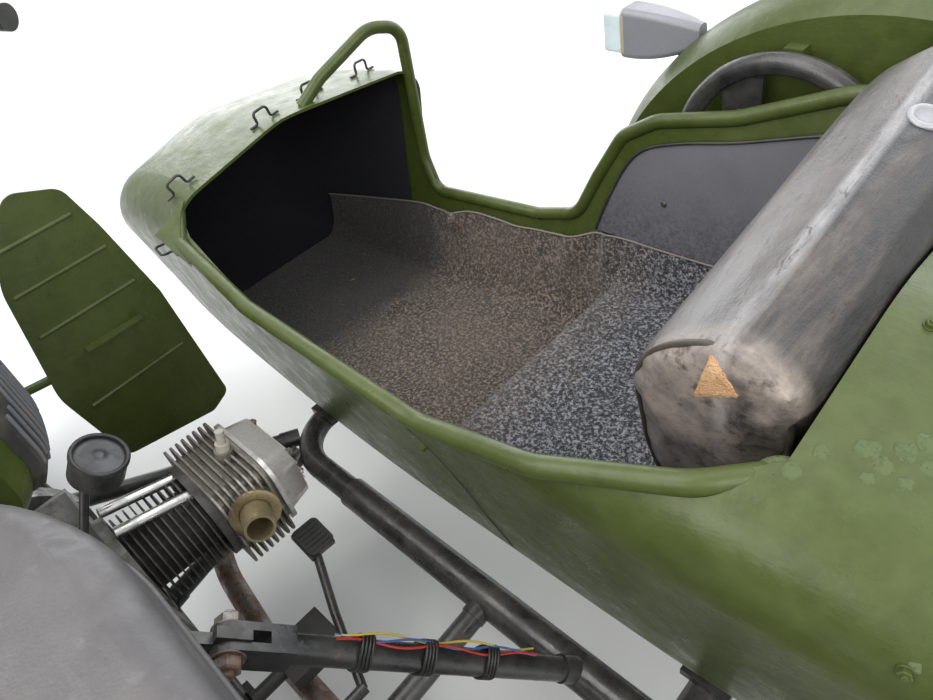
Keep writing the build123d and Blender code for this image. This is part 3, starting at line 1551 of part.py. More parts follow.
with BuildPart() as strut_wiring:
    lift = bolt_run.cross(strut_run).normalized() * (strut_lines[0][3] + 3 + fit_gap)
    if lift.Z < 0:
        lift = lift * -1
    rod(
        tuple(Vector(*strut_lug) + strut_run * 70 + lift),
        tuple(Vector(*strut_lines[0][2]) - strut_run * (socket_length + 14) + lift),
        3,
    )
finish(strut_wiring.part, "strut_wiring")

# The origin is on the ground, at the middle of the machine's length and width
boxes = [piece.bounding_box() for piece in pieces.values()]
middle_x = (min(box.min.X for box in boxes) + max(box.max.X for box in boxes)) / 2
middle_y = (min(box.min.Y for box in boxes) + max(box.max.Y for box in boxes)) / 2
for name, piece in pieces.items():
    placed = piece.moved(Location((-middle_x, -middle_y, 0)))
    placed.label = name
    export_step(placed, f"parts/{name}.step")
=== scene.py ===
"""Looks for the sidecar motorcycle: materials, soft goods and trim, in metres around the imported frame."""
import json
import math
import random

import bpy
import numpy as np
from mathutils import Matrix, Vector, noise
from mathutils.bvhtree import BVHTree

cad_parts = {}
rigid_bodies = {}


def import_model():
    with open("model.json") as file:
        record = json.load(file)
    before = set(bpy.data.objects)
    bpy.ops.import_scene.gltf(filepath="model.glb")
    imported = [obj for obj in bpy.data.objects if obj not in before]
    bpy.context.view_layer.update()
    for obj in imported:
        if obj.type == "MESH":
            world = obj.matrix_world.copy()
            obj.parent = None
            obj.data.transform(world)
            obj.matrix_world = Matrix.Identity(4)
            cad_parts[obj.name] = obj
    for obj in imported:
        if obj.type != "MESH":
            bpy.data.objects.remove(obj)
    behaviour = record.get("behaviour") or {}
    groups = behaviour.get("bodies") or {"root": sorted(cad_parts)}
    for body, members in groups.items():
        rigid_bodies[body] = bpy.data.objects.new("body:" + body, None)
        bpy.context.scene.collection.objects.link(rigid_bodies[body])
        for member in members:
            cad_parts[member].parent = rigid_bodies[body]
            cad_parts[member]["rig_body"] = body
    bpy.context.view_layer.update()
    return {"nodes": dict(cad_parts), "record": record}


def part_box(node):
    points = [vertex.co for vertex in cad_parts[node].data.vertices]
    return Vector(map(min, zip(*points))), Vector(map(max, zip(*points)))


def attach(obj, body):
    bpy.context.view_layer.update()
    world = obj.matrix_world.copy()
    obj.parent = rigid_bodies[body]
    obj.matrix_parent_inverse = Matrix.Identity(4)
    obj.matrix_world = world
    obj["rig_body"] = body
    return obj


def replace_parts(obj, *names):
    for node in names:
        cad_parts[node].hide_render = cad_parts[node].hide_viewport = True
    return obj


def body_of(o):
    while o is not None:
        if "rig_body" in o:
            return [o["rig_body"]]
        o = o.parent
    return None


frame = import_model()
NODES = frame["nodes"]

# The frame's origin, measured from the ground under the rear axle, as the sizes below are
ORIGIN = Vector((0.699435, -0.410387, 0.0))


def at(x, y, z):
    """A point given in millimetres from the ground under the rear axle."""
    return Vector((x, y, z)) / 1000 - ORIGIN


def dimmed(shade, share):
    return tuple(c * share for c in shade)


class Look:
    """One material, built from nodes around a Principled shader."""

    def __init__(self, name, rough=0.5, metal=0.0, **sockets):
        self.mat = bpy.data.materials.new(name)
        self.mat.use_nodes = True
        self.tree = self.mat.node_tree
        self.bsdf = self.tree.nodes["Principled BSDF"]
        self.bsdf.inputs["Roughness"].default_value = rough
        self.bsdf.inputs["Metallic"].default_value = metal
        for key, value in sockets.items():
            self.bsdf.inputs[key.replace("_", " ")].default_value = value
        self.place = self.node("ShaderNodeTexCoord").outputs["Object"]
        self.height = self.shade = None

    def node(self, kind, inputs=(), **settings):
        made = self.tree.nodes.new(kind)
        for key, value in settings.items():
            setattr(made, key, value)
        for key, value in dict(inputs).items():
            if hasattr(value, "is_output"):
                self.tree.links.new(value, made.inputs[key])
            else:
                made.inputs[key].default_value = value
        return made

    def stretched(self, x, y, z):
        return self.node("ShaderNodeMapping", {"Vector": self.place, "Scale": (x, y, z)}).outputs[0]

    def noise(self, scale, detail=4.0, rough=0.55, distort=0.0, where=None):
        settings = {"Vector": where or self.place, "Scale": scale, "Detail": detail}
        settings |= {"Roughness": rough, "Distortion": distort}
        return self.node("ShaderNodeTexNoise", settings).outputs["Fac"]

    def cells(self, scale):
        made = self.node("ShaderNodeTexVoronoi", {"Vector": self.place, "Scale": scale})
        return made.outputs["Distance"]

    def ramp(self, value, low, high, start=0.0, end=1.0):
        settings = {"Value": value, "From Min": low, "From Max": high, "To Min": start, "To Max": end}
        return self.node("ShaderNodeMapRange", settings, clamp=True).outputs[0]

    def math(self, how, a, b=0.0):
        return self.node("ShaderNodeMath", {0: a, 1: b}, operation=how).outputs[0]

    def mix(self, share, a, b):
        made = self.node("ShaderNodeMix", data_type="RGBA")
        for index, value in ((0, share), (6, a), (7, b)):
            if hasattr(value, "is_output"):
                self.tree.links.new(value, made.inputs[index])
            elif index:
                made.inputs[index].default_value = (*value, 1.0)
            else:
                made.inputs[index].default_value = value
        return made.outputs[2]

    def between(self, mask, start, end):
        return self.ramp(mask, 0.0, 1.0, start, end)

    def patches(self, grain, low, high, start=0.0, end=1.0, where=None):
        """Cloudy patches: noise of this scale, detail and roughness, cut between two of its values."""
        return self.ramp(self.noise(*grain, where=where), low, high, start, end)

    def plus(self, a, b):
        return self.math("ADD", a, b)

    def times(self, a, b):
        return self.math("MULTIPLY", a, b)

    def most(self, a, b):
        return self.math("MAXIMUM", a, b)

    def facing_up(self):
        normal = self.node("ShaderNodeNewGeometry").outputs["Normal"]
        return self.node("ShaderNodeSeparateXYZ", {0: normal}).outputs["Z"]

    def edges(self, low, high):
        """A mask of the sharp edges, or of the hollows where low is above high."""
        return self.ramp(self.node("ShaderNodeNewGeometry").outputs["Pointiness"], low, high)

    def position(self, axis):
        return self.node("ShaderNodeSeparateXYZ", {0: self.place}).outputs[axis]

    def link(self, value, socket):
        self.tree.links.new(value, self.bsdf.inputs[socket])

    def cover(self, mask, shade, ground=None):
        """Lays one more shade over those so far, or over the ground, where the mask lets it through."""
        self.shade = self.mix(mask, ground or self.shade, shade)
        self.link(self.shade, "Base Color")

    def roughness(self, value):
        self.link(value, "Roughness")

    def metallic(self, value):
        self.link(value, "Metallic")

    def bump(self, value, distance, strength=1.0):
        made = self.node("ShaderNodeBump", {"Height": value, "Distance": distance, "Strength": strength})
        if self.height:
            self.tree.links.new(self.height, made.inputs["Normal"])
        self.height = made.outputs[0]
        self.link(self.height, "Normal")


def brushed_paint(name, base, faded, chips=0.62, under=(0.10, 0.055, 0.03)):
    """Hand-brushed enamel: fading, dust on top, runs and brush marks, chips down to rusty steel."""
    look = Look(name, Specular_IOR_Level=0.3)
    fade = look.patches((3.1, 5, 0.6), 0.35, 0.7)
    look.cover(fade, faded, ground=base)
    mottle = look.patches((38, 3, 0.6), 0.42, 0.66, 0.0, 0.35)
    look.cover(mottle, dimmed(base, 0.62))
    dust = look.times(look.ramp(look.facing_up(), 0.2, 0.95), look.patches((7, 6, 0.7), 0.3, 0.7))
    look.cover(look.times(dust, 0.12), (0.26, 0.29, 0.17))
    grime = look.patches((14, 8, 0.75, 0.6), 0.62, 0.78, 0.0, 0.4)
    look.cover(grime, (0.055, 0.05, 0.035))
    spots = look.noise(120, 4, 0.7)
    patches = look.patches((9, 4, 0.6), 0.5, 0.7, 0.0, 0.12)
    chipped = look.ramp(look.plus(spots, patches), chips + 0.14, chips + 0.16)
    rubbed = look.times(look.edges(0.58, 0.68), look.ramp(spots, 0.56, 0.66))
    bare = look.most(chipped, rubbed)
    look.cover(bare, under)
    rougher = look.patches((24, 5, 0.7), 0.3, 0.75, 0.22, 0.46)
    look.roughness(look.most(rougher, look.times(bare, 0.85)))
    look.bump(look.noise(11, 3, 0.5), 0.004, 0.5)
    look.bump(look.noise(60, 3, 0.6), 0.0009, 0.7)
    look.bump(look.noise(1.0, 4, 0.6, where=look.stretched(30, 240, 240)), 0.0004, 0.5)
    look.bump(look.times(bare, -1.0), 0.0004, 0.8)
    return look.mat


def worn_black(name, rough=0.32, dusty=0.3):
    """Black enamel: dust on top and pinholes of rust."""
    look = Look(name)
    look.cover(look.patches((18, 5, 0.65), 0.35, 0.7), (0.05, 0.048, 0.045), ground=(0.012, 0.012, 0.014))
    dust = look.times(look.ramp(look.facing_up(), 0.3, 1.0), look.patches((22, 6, 0.7), 0.4, 0.7))
    look.cover(look.times(dust, dusty), (0.19, 0.17, 0.14))
    rust = look.patches((70, 5, 0.75), 0.67, 0.71)
    look.cover(rust, (0.14, 0.06, 0.025))
    look.roughness(look.patches((30, 5, 0.7), 0.3, 0.7, rough - 0.12, rough + 0.25))
    look.bump(look.noise(90, 4, 0.6), 0.0007, 0.7)
    return look.mat


def cast_metal(name, base, grime, metal=0.75, rough=0.5, oily=0.5):
    """Grainy cast metal with oily grime, thickest in its hollows."""
    look = Look(name, metal=metal)
    grainy = look.patches((220, 3, 0.6), 0.3, 0.7, 0.0, 0.5)
    look.cover(grainy, dimmed(base, 0.7), ground=base)
    dirt = look.patches((26, 7, 0.72, 0.4), 0.62 - 0.3 * oily, 0.72)
    hollow = look.edges(0.5, 0.42)
    dirt = look.most(dirt, look.times(hollow, 0.8))
    look.cover(dirt, grime)
    look.roughness(look.between(dirt, rough, rough + 0.25))
    look.metallic(look.between(dirt, metal, 0.1))
    look.bump(look.noise(260, 3, 0.6), 0.0004, 0.6)
    look.bump(dirt, 0.0005, 0.5)
    return look.mat


def plated(name, base):
    """Bright plating under a haze."""
    look = Look(name, metal=1.0)
    haze = look.patches((40, 6, 0.7), 0.4, 0.7)
    look.cover(haze, dimmed(base, 0.6), ground=base)
    look.roughness(look.between(haze, 0.22, 0.52))
    look.bump(look.noise(150, 4, 0.6), 0.0002, 0.5)
    return look.mat


def rusty_steel(name):
    """Bare steel gone brown, with darker pits."""
    look = Look(name, metal=0.6)
    rust = look.patches((30, 7, 0.72), 0.38, 0.62)
    look.cover(rust, (0.17, 0.085, 0.045), ground=(0.22, 0.21, 0.20))
    look.cover(look.patches((130, 4, 0.7), 0.5, 0.7), (0.08, 0.045, 0.03))
    look.metallic(look.between(rust, 0.85, 0.1))
    look.roughness(look.between(rust, 0.4, 0.85))
    look.bump(look.noise(160, 5, 0.7), 0.0006, 0.7)
    return look.mat


def rubber(name, base=(0.018, 0.018, 0.018), rough=0.72, dusty=0.5):
    """Rubber or plain plastic under patches of dust."""
    look = Look(name)
    dust = look.patches((20, 6, 0.7), 0.4, 0.75, 0.0, dusty)
    look.cover(dust, (0.15, 0.13, 0.10), ground=base)
    look.roughness(look.ramp(dust, 0.0, 0.5, rough - 0.15, rough + 0.15))
    look.bump(look.noise(180, 4, 0.6), 0.0005, 0.6)
    return look.mat


def leatherette(name, dark, worn):
    """Coated cloth, rubbed pale and ground in."""
    look = Look(name, rough=0.45)
    rubs = look.patches((7, 6, 0.68, 0.3), 0.47, 0.75)
    streaks = look.patches((5, 5, 0.7), 0.5, 0.68, 0.0, 0.7, where=look.stretched(1, 7, 1.5))
    look.cover(look.most(rubs, streaks), worn, ground=dark)
    ground_in = look.patches((60, 6, 0.7), 0.58, 0.74, 0.0, 0.3)
    look.cover(ground_in, dimmed(worn, 1.9))
    look.roughness(look.patches((16, 6, 0.7), 0.3, 0.7, 0.3, 0.62))
    look.bump(look.cells(420), 0.00025, 0.5)
    look.bump(look.noise(14, 4, 0.5), 0.0012, 0.5)
    return look.mat


# Where the backrest's ridge runs across, in metres
RIDGE_X = -0.559


def old_leather(name):
    """Black leather rubbed grey-brown in streaks along its length, with a painted highlight along the ridge and
    the front face painted lighter, a muddy end made pale enough to also paint in the light on it, and a few green
    smears.
    """
    look = Look(name, rough=0.4)
    streaks = look.noise(1.0, 7, 0.72, 0.5, where=look.stretched(34, 4.5, 34))
    rubs = look.ramp(streaks, 0.44, 0.70, 0.0, 0.9)
    cloudy = look.patches((8, 5, 0.65), 0.40, 0.66, 0.25, 1.0)
    look.cover(look.times(rubs, cloudy), (0.150, 0.122, 0.100), ground=(0.022, 0.021, 0.022))
    # Painted highlight: a pale, broken line along the ridge across the top
    off_ridge = look.math("ABSOLUTE", look.math("SUBTRACT", look.position("X"), RIDGE_X))
    on_ridge = look.times(look.ramp(off_ridge, 0.003, 0.010, 1.0, 0.0), look.ramp(look.position("Z"), 0.62, 0.68))
    ridge_highlight_breakup = look.patches((1.0, 5, 0.7), 0.3, 0.6, 0.25, 0.9, where=look.stretched(60, 9, 60))
    look.cover(look.times(on_ridge, ridge_highlight_breakup), (0.30, 0.29, 0.29))
    # Painted light: the front face, ahead of the ridge, made lighter than the rear one
    lit_front_face = look.ramp(look.position("X"), RIDGE_X, RIDGE_X + 0.012, 0.0, 0.40)
    look.cover(lit_front_face, (0.20, 0.185, 0.180))
    cracks = look.patches((1.0, 6, 0.75, 0.8), 0.56, 0.64, 0.0, 0.7, where=look.stretched(160, 22, 160))
    look.cover(cracks, (0.022, 0.018, 0.016))
    # Muddy end, its colour made pale enough to also stand in for painted light on the end cap
    end = look.ramp(look.position("Y"), -0.162, -0.140)
    mud_and_end_light = look.times(end, look.patches((16, 6, 0.7), 0.34, 0.60))
    look.cover(look.times(mud_and_end_light, 0.8), (0.34, 0.285, 0.245))
    stain = look.times(end, look.patches((34, 5, 0.7), 0.56, 0.66, 0.0, 0.8))
    look.cover(stain, (0.050, 0.036, 0.026))
    smear = look.patches((19, 6, 0.72, 0.4), 0.69, 0.72, 0.0, 0.5)
    look.cover(smear, (0.060, 0.085, 0.030))
    look.roughness(look.between(look.most(rubs, mud_and_end_light), 0.30, 0.50))
    look.bump(look.noise(1.0, 5, 0.7, where=look.stretched(120, 30, 120)), 0.0010, 0.6)
    look.bump(look.noise(22, 4, 0.6), 0.0022, 0.6)
    look.bump(look.cells(460), 0.0003, 0.5)
    return look.mat


def grey_board(name):
    """Even dark grey vinyl over a board, with faint scratches and darker speckles towards the bottom."""
    look = Look(name, rough=0.5)
    look.cover(look.patches((5, 4, 0.6), 0.3, 0.7), (0.125, 0.122, 0.135), ground=(0.098, 0.097, 0.112))
    scratch = look.patches((1.0, 5, 0.8, 0.3), 0.66, 0.72, 0.0, 0.5, where=look.stretched(12, 60, 190))
    look.cover(scratch, (0.23, 0.22, 0.225))
    # Darker speckles towards the bottom
    low_down = look.ramp(look.position("Z"), 0.62, 0.53)
    darkened_low_down = look.times(low_down, look.patches((150, 5, 0.8), 0.44, 0.60, 0.1, 0.75))
    look.cover(darkened_low_down, (0.035, 0.035, 0.042))
    look.cover(look.patches((300, 3, 0.6), 0.5, 0.75, 0.0, 0.25), (0.05, 0.05, 0.055))
    look.roughness(look.patches((20, 4, 0.6), 0.3, 0.7, 0.42, 0.6))
    look.bump(look.cells(600), 0.0002, 0.5)
    look.bump(look.noise(9, 3, 0.5), 0.0012, 0.4)
    return look.mat


def shade_black_felt(name):
    """Blue-black felt, made near-black as painted shade where it lines the cowl: no gloss, fine fibre."""
    look = Look(name, rough=0.95)
    fibre = look.noise(420, 3, 0.7)
    look.cover(look.ramp(fibre, 0.4, 0.65), (0.012, 0.0125, 0.019), ground=(0.003, 0.0032, 0.0055))
    look.cover(look.patches((8, 6, 0.7), 0.55, 0.75, 0.0, 0.3), (0.024, 0.020, 0.018))
    look.bump(fibre, 0.0012, 0.7)
    return look.mat


def pile_carpet(name):
    """Short dark pile, brown with dust in the footwell and blue-black over the seat base, with painted shade
    turning it near-black far forward under the cowl.
    """
    look = Look(name, rough=0.95, Sheen_Weight=0.15)
    tuft = look.plus(look.times(look.noise(330, 3, 0.75), 0.55), look.times(look.noise(170, 2, 0.6), 0.45))
    forward = look.position("X")
    footwell = look.ramp(look.plus(forward, look.times(look.noise(6, 4, 0.6), 0.12)), -0.19, -0.02)
    dark = look.mix(footwell, (0.010, 0.010, 0.014), (0.020, 0.016, 0.014))
    pale = look.mix(footwell, (0.32, 0.32, 0.345), (0.31, 0.245, 0.195))
    look.cover(look.ramp(tuft, 0.475, 0.60), pale, ground=dark)
    dust = look.times(look.patches((9, 6, 0.7), 0.38, 0.66), footwell)
    look.cover(look.times(dust, 0.42), (0.17, 0.13, 0.095))
    # Painted shade: the carpet goes near-black far forward, where the cowl shades it
    cowl_shade = look.ramp(look.plus(forward, look.times(look.noise(7, 4, 0.6), 0.05)), 0.255, 0.33, 0.0, 0.75)
    look.cover(cowl_shade, (0.012, 0.012, 0.015))
    look.bump(tuft, 0.004, 0.9)
    look.bump(look.cells(700), 0.002, 0.7)
    return look.mat


def clear_plastic(name, tint):
    """A scuffed clear lens."""
    look = Look(name, rough=0.12, Transmission_Weight=0.3)
    look.cover(look.patches((30, 5, 0.7), 0.4, 0.7, 0.0, 0.5), dimmed(tint, 0.7), ground=tint)
    look.bump(look.noise(120, 3, 0.6), 0.0003, 0.4)
    return look.mat


LOOKS = {
    "green_paint": brushed_paint("green_enamel", (0.042, 0.058, 0.011), (0.067, 0.087, 0.022)),
    "black_paint": worn_black("black_enamel"),
    "bare_alloy": cast_metal("head_alloy", (0.40, 0.37, 0.33), (0.055, 0.042, 0.032), oily=0.8),
    "engine_alloy": cast_metal("case_alloy", (0.34, 0.33, 0.31), (0.035, 0.03, 0.025), oily=0.7),
    "barrel_iron": cast_metal("barrel_iron", (0.10, 0.095, 0.09), (0.03, 0.024, 0.02), metal=0.5, oily=0.6),
    "bright_steel": plated("bright_plating", (0.72, 0.71, 0.69)),
    "plain_steel": rusty_steel("plain_steel"),
    "tyre": rubber("tyre_rubber"),
    "rubber": rubber("ribbed_rubber", rough=0.6, dusty=0.35),
    "leatherette": old_leather("backrest_cover"),
    "seat_cover": leatherette("saddle_cover", (0.075, 0.070, 0.072), (0.115, 0.107, 0.106)),
    "carpet": pile_carpet("floor_pile"),
    "grey_vinyl": grey_board("lining_vinyl"),
    "lamp_grey": rubber("lamp_housing_grey", (0.21, 0.215, 0.24), rough=0.42, dusty=0.3),
    "clear_lens": clear_plastic("ribbed_lens", (0.80, 0.91, 0.93)),
    "wire_sleeve": rubber("wire_sleeve", (0.35, 0.03, 0.02), rough=0.45, dusty=0.2),
}
PIECE_LOOKS = {
    "rocker_covers": cast_metal("cover_alloy", (0.72, 0.69, 0.67), (0.20, 0.16, 0.135), 0.6, 0.36, 0.3),
    "intake_stubs": cast_metal("aged_brass", (0.44, 0.36, 0.21), (0.15, 0.115, 0.065), 0.6, 0.42, 0.4),
    "spark_plugs": rubber("plug_ceramic", (0.62, 0.58, 0.50), rough=0.3, dusty=0.5),
    "tonneau_hooks": worn_black("hook_black", 0.3, 0.15),
    "foot_levers": worn_black("lever_black", 0.28, 0.4),
    "sidecar_struts": worn_black("strut_black", 0.26, 0.12),
    "sidecar_frame": worn_black("hoop_black", 0.24, 0.25),
}
for part in frame["record"]["subparts"]:
    look = PIECE_LOOKS.get(part["node"], LOOKS[part["material_slot"]])
    NODES[part["node"]].material_slots[0].material = look


def new_object(name, data):
    made = bpy.data.objects.new(name, data)
    bpy.context.collection.objects.link(made)
    return made


def placed(made, node):
    """The object again, riding the body of a CAD node."""
    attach(made, body_of(NODES[node])[0])
    return made


def joined(name, verts, faces, node, slot, look=None, smooth=True):
    """A mesh piece made from points in metres, with the slot's own look unless another is given."""
    mesh = bpy.data.meshes.new(name)
    mesh.from_pydata([tuple(v) for v in verts], [], faces)
    mesh.materials.append(look or LOOKS[slot])
    if smooth:
        mesh.polygons.foreach_set("use_smooth", [True] * len(mesh.polygons))
    return placed(new_object(name, mesh), node)


def line_tube(name, lines, radius, node, slot, look=None, order=3, closed=False):
    """One curve object of round bars along smooth lines given as lists of points."""
    data = bpy.data.curves.new(name, "CURVE")
    data.dimensions = "3D"
    data.bevel_depth = radius
    data.bevel_resolution = 3
    data.resolution_u = 8
    data.use_fill_caps = True
    for points in lines:
        spline = data.splines.new("NURBS")
        spline.points.add(len(points) - 1)
        for target, point in zip(spline.points, points):
            target.co = (*point, 1.0)
        spline.order_u = order
        spline.use_endpoint_u = not closed
        spline.use_cyclic_u = closed
    data.materials.append(look or LOOKS[slot])
    return placed(new_object(name, data), node)


def around(count, start=0.0):
    """Even angles over a full turn."""
    return [2 * math.pi * n / count + start for n in range(count)]


def circle(centre, turn, radius, height, count, start=0.0):
    """Points on a circle, square to the turn's z and this far up it."""
    return [
        centre + turn @ Vector((radius * math.cos(a), radius * math.sin(a), height)) for a in around(count, start)
    ]


def strips(rows, columns, start=0, closed=True, looped=False, flip=False):
    """Faces over rows of points: closed joins each row's ends, looped the last row to the first."""
    faces = []
    for i in range(rows if looped else rows - 1):
        low, high = start + i * columns, start + (i + 1) % rows * columns
        for j in range(columns if closed else columns - 1):
            m = (j + 1) % columns
            face = low + j, low + m, high + m, high + j
            faces.append((face[0], *face[:0:-1]) if flip else face)
    return faces


def surface_of(*sources):
    """The surface of CAD nodes, given by name, or of pieces, to set other pieces on."""
    verts, faces = [], []
    for source in sources:
        mesh = NODES.get(source, source).data
        start = len(verts)
        verts += [v.co.copy() for v in mesh.vertices]
        faces += [[start + i for i in p.vertices] for p in mesh.polygons]
    return BVHTree.FromPolygons(verts, faces)


def hits(tree, starts, direction):
    """The place and facing normal that a line from each start meets, leaving out those that meet nothing."""
    way = Vector(direction).normalized()
    found = []
    for start in starts:
        place, normal, _, _ = tree.ray_cast(start, way)
        if place is not None:
            found.append((place, -normal if normal.dot(way) > 0 else normal))
    return found


def hit(tree, start, direction):
    return hits(tree, [start], direction)[0]


def basis(normal, along=(0, 0, 1)):
    """A frame whose z is the normal and whose x lies near the given direction."""
    z = Vector(normal).normalized()
    x = Vector(along) - z * Vector(along).dot(z)
    if x.length < 1e-6:
        x = z.orthogonal()
    x.normalize()
    return Matrix((x, z.cross(x), z)).transposed()


WASHER = 0.0016
WASHER_SIDES = 24
WASHER_RINGS = ((1.22, -0.001), (1.22, 0.0010), (1.16, WASHER), (0.9, WASHER))
HEAD_RINGS = ((1, 0), (1, 0.86), (0.86, 1), (0.5, 1.0), (0.5, 1.35), (0.4, 1.45))


def hex_bolts(name, seats, across_flats, head, node, slot):
    """Hexagon heads with chamfers, washers and a thread end, at (place, normal) seats."""
    verts, faces = [], []
    radius = across_flats / math.sqrt(3)
    for index, (centre, normal) in enumerate(seats):
        turn = basis(normal)
        faces += strips(len(WASHER_RINGS), WASHER_SIDES, len(verts))
        for share, height in WASHER_RINGS:
            verts += circle(centre, turn, radius * share, height, WASHER_SIDES)
        faces += strips(len(HEAD_RINGS), 6, len(verts))
        for share, height in HEAD_RINGS:
            verts += circle(centre, turn, radius * share, WASHER + head * height, 6, index * 0.7)
        faces.append(tuple(range(len(verts) - 6, len(verts))))
    return joined(name, verts, faces, node, slot, smooth=False)


def dish(name, place, normal, rings, node, slot, look=None, count=32, hole=False):
    """A turned piece: rings of radius and height, seated at a place."""
    turn = basis(normal)
    verts = [point for radius, height in rings for point in circle(place, turn, radius, height, count)]
    faces = strips(len(rings), count, looped=hole)
    if not hole:
        faces.append(tuple(range(len(verts) - count, len(verts))))
    return joined(name, verts, faces, node, slot, look)


def shown_mesh(source, *steps):
    """The mesh of an object with the given modifiers on it, as a new mesh."""
    for kind, settings in steps:
        step = source.modifiers.new(kind.lower(), kind)
        for key, value in settings.items():
            setattr(step, key, value)
    bpy.context.view_layer.update()
    graph = bpy.context.evaluated_depsgraph_get()
    made = bpy.data.meshes.new_from_object(source.evaluated_get(graph))
    source.modifiers.clear()
    return made


def points_of(mesh, what="co"):
    """A row of three numbers for each point of a mesh: its place, or its normal."""
    flat = np.empty(len(mesh.vertices) * 3)
    mesh.vertices.foreach_get(what, flat)
    return flat.reshape(-1, 3)


def set_points(mesh, points):
    mesh.vertices.foreach_set("co", points.ravel())
    mesh.update()


CLOTH_FRAMES = 20


def padded_piece(name, node, slot, inset, cap, voxel, slack, settle=2):
    """A stuffed cover blown up by cloth pressure from its CAD solid, which it replaces."""
    piece = new_object(name, NODES[node].data.copy())
    remesh = {"mode": "VOXEL", "voxel_size": voxel}
    piece.data = shown_mesh(piece, ("REMESH", remesh), ("SMOOTH", {"iterations": 6}))
    start = points_of(piece.data) - points_of(piece.data, "normal") * inset
    set_points(piece.data, start)
    cloth = piece.modifiers.new("cloth", "CLOTH")
    cloth.settings.use_pressure = True
    cloth.settings.uniform_pressure_force = 4.0
    cloth.settings.effector_weights.gravity = 0.0
    cloth.settings.shrink_min = -slack
    cloth.settings.quality = 4
    cloth.point_cache.frame_start = 1
    cloth.point_cache.frame_end = CLOTH_FRAMES
    for number in range(1, CLOTH_FRAMES + 1):
        bpy.context.scene.frame_set(number)
    graph = bpy.context.evaluated_depsgraph_get()
    blown = points_of(piece.evaluated_get(graph).data)
    piece.modifiers.clear()
    bpy.context.scene.frame_set(1)
    moved = blown - start
    length = np.maximum(np.linalg.norm(moved, axis=1, keepdims=True), 1e-9)
    set_points(piece.data, start + moved * np.minimum(1.0, cap / length))
    piece.data = shown_mesh(piece, ("SMOOTH", {"iterations": settle}), ("SUBSURF", {"levels": 1}))
    piece.data.materials.clear()
    piece.data.materials.append(LOOKS[slot])
    piece.data.polygons.foreach_set("use_smooth", [True] * len(piece.data.polygons))
    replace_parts(placed(piece, node), node)
    return piece


def arc_through(a, b, c, count):
    """Points along the arc from a through b to c, in the plane."""
    (ax, ay), (bx, by), (cx, cy) = a, b, c
    d = 2 * (ax * (by - cy) + bx * (cy - ay) + cx * (ay - by))
    ux = ((ax * ax + ay * ay) * (by - cy) + (bx * bx + by * by) * (cy - ay) + (cx * cx + cy * cy) * (ay - by)) / d
    uy = ((ax * ax + ay * ay) * (cx - bx) + (bx * bx + by * by) * (ax - cx) + (cx * cx + cy * cy) * (bx - ax)) / d
    radius = math.hypot(ax - ux, ay - uy)
    first, last = (math.atan2(y - uy, x - ux) for x, y in (a, c))
    return [(ux + radius * math.cos(t), uy + radius * math.sin(t)) for t in np.linspace(first, last, count)]


TREAD_REPEATS = 60
TREAD_STEPS = 6
SIDE_POINTS = 9


def treaded_tyre(name, node):
    """A ring tyre with a zigzag centre groove, side blocks and fine sidewall ridges."""
    low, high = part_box(node)
    centre = (low + high) / 2
    side = arc_through((0.030, 0.252), (0.049, 0.286), (0.040, 0.318), SIDE_POINTS)
    crown = arc_through((0.040, 0.318), (0.0, 0.335), (-0.040, 0.318), 37)
    profile = [(0.030, 0.242), *side, *crown[1:-1], *[(-w, r) for w, r in reversed(side)], (-0.030, 0.242)]
    count = TREAD_REPEATS * TREAD_STEPS
    verts = []
    for n, a in enumerate(around(count)):
        phase = (n % TREAD_STEPS) / TREAD_STEPS
        zig = 0.0030 * (1 - abs(2 * phase - 1)) - 0.0015
        for w, r in profile:
            cut = 0.0
            if r > 0.3125:
                reach = abs(w)
                if abs(reach - (0.0125 + zig)) < 0.0021:
                    cut = 0.0060
                elif reach > 0.0155:
                    lag = (phase + (0.5 if w < 0 else 0.0) + reach * 9) % 1.0
                    if lag < 0.33:
                        cut = 0.0065
                elif reach < 0.0015:
                    cut = 0.0015
            elif 0.262 < r < 0.300:
                cut = 0.0006 * (0.5 + 0.5 * math.cos(r * 1700))
            verts.append(Vector((math.cos(a) * (r - cut), w, math.sin(a) * (r - cut))) + centre)
    wide = len(profile)
    faces = strips(count, wide, looped=True, flip=True)
    piece = joined(name, verts, faces, node, "tyre", smooth=False)
    on_side = [k < SIDE_POINTS or k > wide - SIDE_POINTS - 2 for k in range(wide)] * count
    piece.data.polygons.foreach_set("use_smooth", on_side)
    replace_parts(piece, node)


for tyre in ("front_tyre", "rear_tyre", "sidecar_tyre"):
    treaded_tyre(f"{tyre}_tread", tyre)

# Soft goods
backrest = padded_piece(
    "backrest_cushion", "sidecar_backrest", "leatherette",
    inset=0.006, cap=0.007, voxel=0.0055, slack=0.012, settle=9,
)
pulled = points_of(backrest.data)
upward = np.clip(points_of(backrest.data, "normal")[:, 2], 0, 1)
pulled[:, 2] += 0.0045 * upward * np.exp(-(((pulled[:, 0] - RIDGE_X) / 0.011) ** 2))
set_points(backrest.data, pulled)
backrest_tree = surface_of(backrest)
rider_cushion = padded_piece(
    "rider_cushion", "rider_seat", "seat_cover", inset=0.005, cap=0.008, voxel=0.006, slack=0.01
)

# The backrest is tilted about a line along the machine, so its end cap is a tilted plane
TILT = math.radians(7.5)
ACROSS = Vector((0, math.cos(TILT), -math.sin(TILT)))
UPWARD = Vector((0, math.sin(TILT), math.cos(TILT)))

